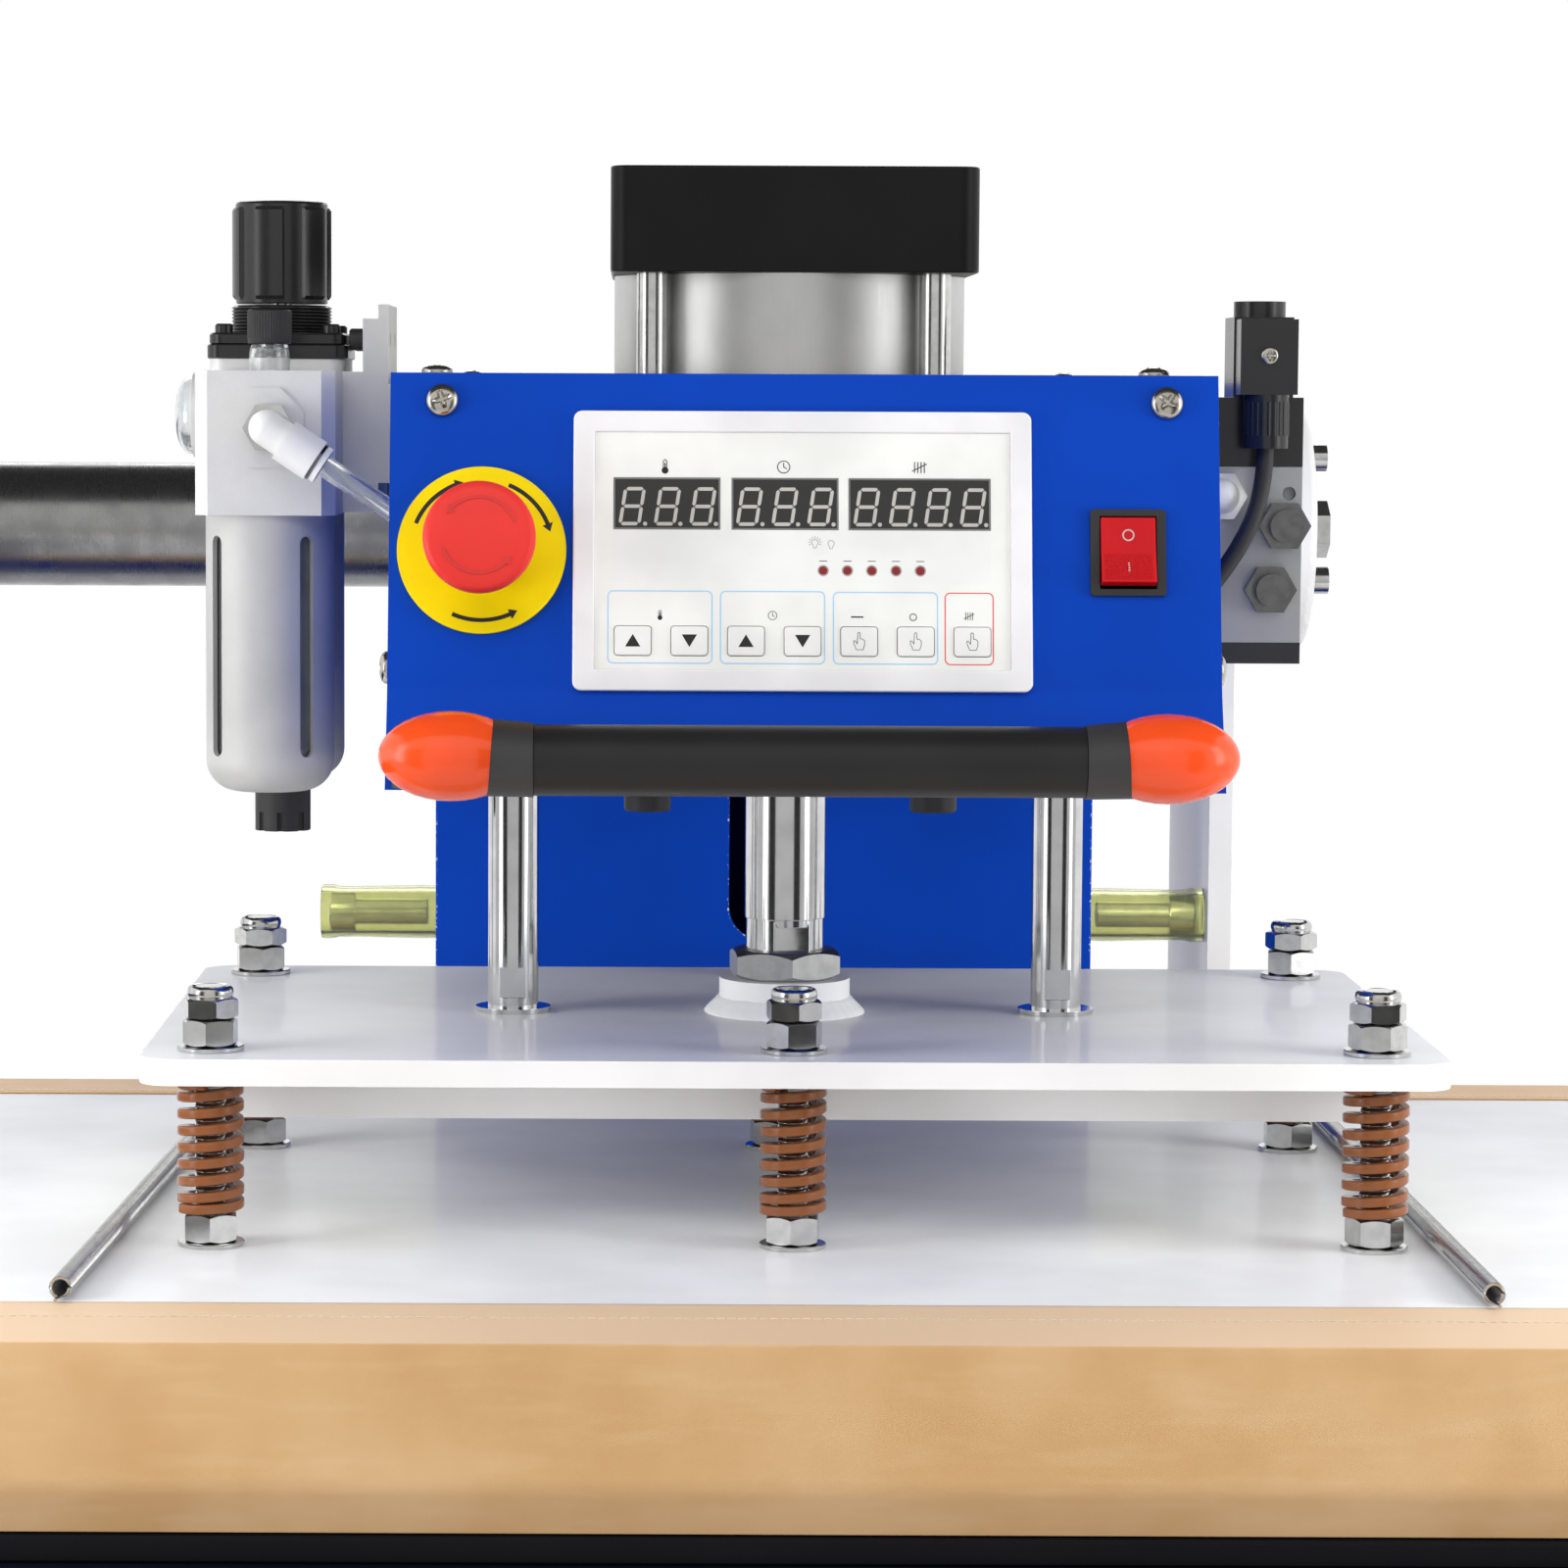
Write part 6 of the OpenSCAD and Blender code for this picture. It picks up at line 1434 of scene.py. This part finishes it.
# %% Bowls, gauge and drain
dress("bowl_guards", ["guard_alu", "black_matt"], bevel=0.3, smooth=40,
      pick=lambda middle, size: 1 if size.z < 50 else 0)
dress("filter_bowls", ["clear_bowl"], bevel=0.3, smooth=50)
gauge = Shaper()
place = PRESS @ shift(AIR_X - 26.5, AIR_REAR, AIR_Z + 37.5) @ turn(-90, "Y") @ turn(-90, "Z")
gauge.lathe([(0, 0), (15.6, 0), (16.7, 0.6), (17.0, 1.6), (17.0, 7.4), (16.7, 8.3), (16.0, 8.5), (15.0, 8.5),
             (14.8, 6.6), (0, 6.6)], place, 0, sides=96)
gauge.lathe([(0, 6.5), (14.6, 6.5), (14.6, 6.75), (0, 6.75)], place, 1, sides=64)
for k in range(21):
    a = math.radians(225 - 13.5 * k)
    inner, wide = (10.6, 0.45) if k % 5 == 0 else (11.6, 0.22)
    stroke(gauge, [polar(r, a) for r in (inner, 13)], wide, place, 2, 6.7, 6.82)
stroke(gauge, [(-2.6, -2.6), (7.6, 7.6)], 0.55, place, 2, 7.1, 7.3)
gauge.lathe([(0, 6.7), (1.6, 6.7), (1.6, 7.5), (1.0, 7.8), (0, 7.8)], place, 2, sides=24)
gauge.piece("gauge_case", "carriage", "unit_alu", ["unit_alu", "dial_white", "ink_black"],
            replaces=("pressure_gauge",), smooth=40)
RIM_UP = 8.45
dome = [(15.6 * math.cos(math.radians(6 * k)) ** 0.7, RIM_UP + 7.0 * math.sin(math.radians(6 * k)))
        for k in range(15)] + [(0, RIM_UP + 7.0)]
inside = [(0.93 * r, RIM_UP + 0.88 * (z - RIM_UP)) for r, z in dome]
Shaper().lathe(inside[::-1] + dome, place, sides=96).piece(
    "gauge_lens", "carriage", "clear_bowl", ["clear_dome"], smooth=60)
dress("filter_drain", ["black_matt"], bevel=0.4)

# %% [markdown]
# ## Bracket, elbows and plugs
# A cast arm joins the air unit to the head. In the elbow a bright hexagon
# holds white plastic; a face of the solid is told apart by how far it lies from the elbow's own axis.

# %% Bracket and fittings
dress("air_bracket", ["unit_alu"], bevel=0.9, segments=3)
ELBOW_X, ELBOW_Y, ELBOW_Z, ELBOW_R = -198, AIR_FRONT - 26.5, AIR_Z + 33, 10.2
fittings = cad_copy("fittings")
for solid in islands(fittings):
    middle, size = span(solid)
    left, low = middle.x < -HEAD_HALF, middle.z < PLATE_TOP
    plug = middle.x > HEAD_HALF + 22.5 and size.y < 14
    for f in solid:
        spot, _ = span([f])
        near_port = left and spot.y > ELBOW_Y - 6.4 and math.hypot(spot.x - ELBOW_X, spot.z - ELBOW_Z) < ELBOW_R
        f.material_index = 3 if low else (2 if plug else (1 if near_port else 0))
finish_mesh(fittings, "elbows_and_plugs", "carriage", "white_plastic",
            ["white_moulded", "zinc", "plug_steel", "black_matt"], bevel=0.35, replaces=("fittings",), smooth=40)
HOSE_LEAN = 33.7
axis = PRESS @ shift(ELBOW_X, ELBOW_Y - 14.5, ELBOW_Z) @ turn(90 + HOSE_LEAN, "Y")
Shaper().lathe([(7.0, 22.0), (7.6, 21.8), (7.6, 23.2), (7.0, 23.2)], axis, loop=True).piece(
    "elbow_dark_ring", "carriage", "white_plastic", ["plug_steel"], smooth=40)

# %% [markdown]
# ## Valve
# An extruded aluminium body with a black end plate, a pilot block, a coil and its connector. The coil's nut is lobed
# for the fingers, and the cable gland has grip ribs.

# %% Valve
SPLIT = FLOOR + 46.5
valve = cad_copy("valve_body")
bmesh.ops.bisect_plane(valve, geom=valve.verts[:] + valve.edges[:] + valve.faces[:], dist=1e-6,
                       plane_co=(0, 0, SPLIT * MM), plane_no=(0, 0, 1))
for f in valve.faces:
    f.material_index = 1 if span([f])[0].z < SPLIT - 0.01 else 0
finish_mesh(valve, "valve_block", "carriage", "valve_alu", ["valve_alu", "black_matt"], bevel=0.6, segments=3,
            replaces=("valve_body",), smooth=36)
COIL_X, COIL_Y, COIL_Z, CONNECTOR_Y = HEAD_HALF + 27.75, -74.5, SPLIT + 92, -88
coil_body = cad_copy("valve_coil")
for solid in islands(coil_body):
    for f in solid:
        spot, _ = span([f])
        f.material_index = 0 if spot.z > COIL_Z - 0.5 or spot.y < -89 else 1
finish_mesh(coil_body, "valve_coil_case", "carriage", "black_plastic", ["black_gloss", "black_matt"], bevel=0.8,
            segments=3, replaces=("valve_coil",), smooth=36)


valve_trim = Shaper()
lobe, rib = waves(9.05, 0.65, 10), waves(8.55, 0.25, 24)
valve_trim.lathe([(8.4, -0.5), (lobe, 0.4), (lobe, 5.2), (8.8, 5.9), (7.4, 6.0), (0, 6.0)],
                 PRESS @ shift(COIL_X, COIL_Y, COIL_Z + 30), sides=160)
valve_trim.lathe([(8.0, 4.2), (rib, 5.0), (rib, 17.2), (8.4, 17.6)],
                 PRESS @ shift(COIL_X, CONNECTOR_Y - 8, COIL_Z - 19), sides=192)
valve_trim.piece("valve_grips", "carriage", "black_plastic", ["black_gloss"], smooth=50)
small = PRESS @ shift(COIL_X, CONNECTOR_Y - 16 - RESTS, COIL_Z + 15.5) @ turn(90, "X")
Shaper().take(copies(cross_screw(6.2, 1.7, 0.9, 0.7, 2.0), [small], "nickel")).piece(
    "connector_screw", "carriage", "screw_steel", ["nickel"], smooth=40)

# %% [markdown]
# ## Bumpers
# Cast urethane sleeves over the stop bolts. They are waisted where they were pulled over the bolt, thicker at the rim,
# and the thread shows through.

# %% Bumpers
sleeves = Shaper()
for side in (-1, 1):
    place = PRESS @ shift(side * 152.5, BUMPER_Y, BUMPER_Z) @ turn(90 * side, "Y")
    sleeves.lathe([(9.3, 0.05), (12.4, 0.05), (12.5, 8), (12.2, 24), (11.9, 38), (12.0, 46), (12.7, 49),
                   (12.75, 53.6), (12.4, 54.45), (9.7, 54.45), (9.4, 53.8), (9.3, 48)], place, sides=72, loop=True)
sleeves.piece("urethane_sleeves", "carriage", "urethane", ["urethane"], replaces=("bumper_sleeves",), smooth=50)

# %% [markdown]
# ## Weld at the boss
# The boss is welded to the plate by hand, so the bead's width and height wander. It is a ring of short overlapping
# ripples, painted over with the plate.

# %% Weld and jam nut
BOSS_R, WELD_R = 26.0, 31.0
bead, steps = [], 180
for k in range(steps):
    a = 2 * math.pi * k / steps
    uneven = 0.7 * noise.noise(Vector((*polar(3, a), 0.3)))
    ripple = 0.3 * abs(math.sin(a * 21 + 2 * uneven))
    wide, high = 0.5 + 0.9 * uneven + ripple, 0.6 * uneven + ripple
    ring = [(WELD_R - 7, -0.3), (WELD_R + wide, -0.3), (WELD_R + wide, 0.8), (WELD_R - 1.6 + wide * 0.7, 2.6 + high),
            (BOSS_R + 1.4, 5.0 + high), (BOSS_R + 0.5, 6.3 + high), (BOSS_R - 1, 6.5 + high)]
    bead.append([(*polar(r, a), PLATE_TOP + z) for r, z in ring])
JAM_ACROSS, JAM_HIGH, JAM_BORE, JAM_UP = 41, 11.4, 31, 14.05
nut_on(Shaper(), JAM_ACROSS, JAM_HIGH, JAM_BORE, PRESS @ shift(z=PLATE_TOP + JAM_UP) @ turn(6, "Z")).piece(
    "jam_nut", "ram", "zinc_steel", ["nut_steel"], smooth=38)
Shaper().stack(bead, PRESS, loop=True).piece("weld_bead", "ram", "plate_white", ["plate_white"], smooth=70)
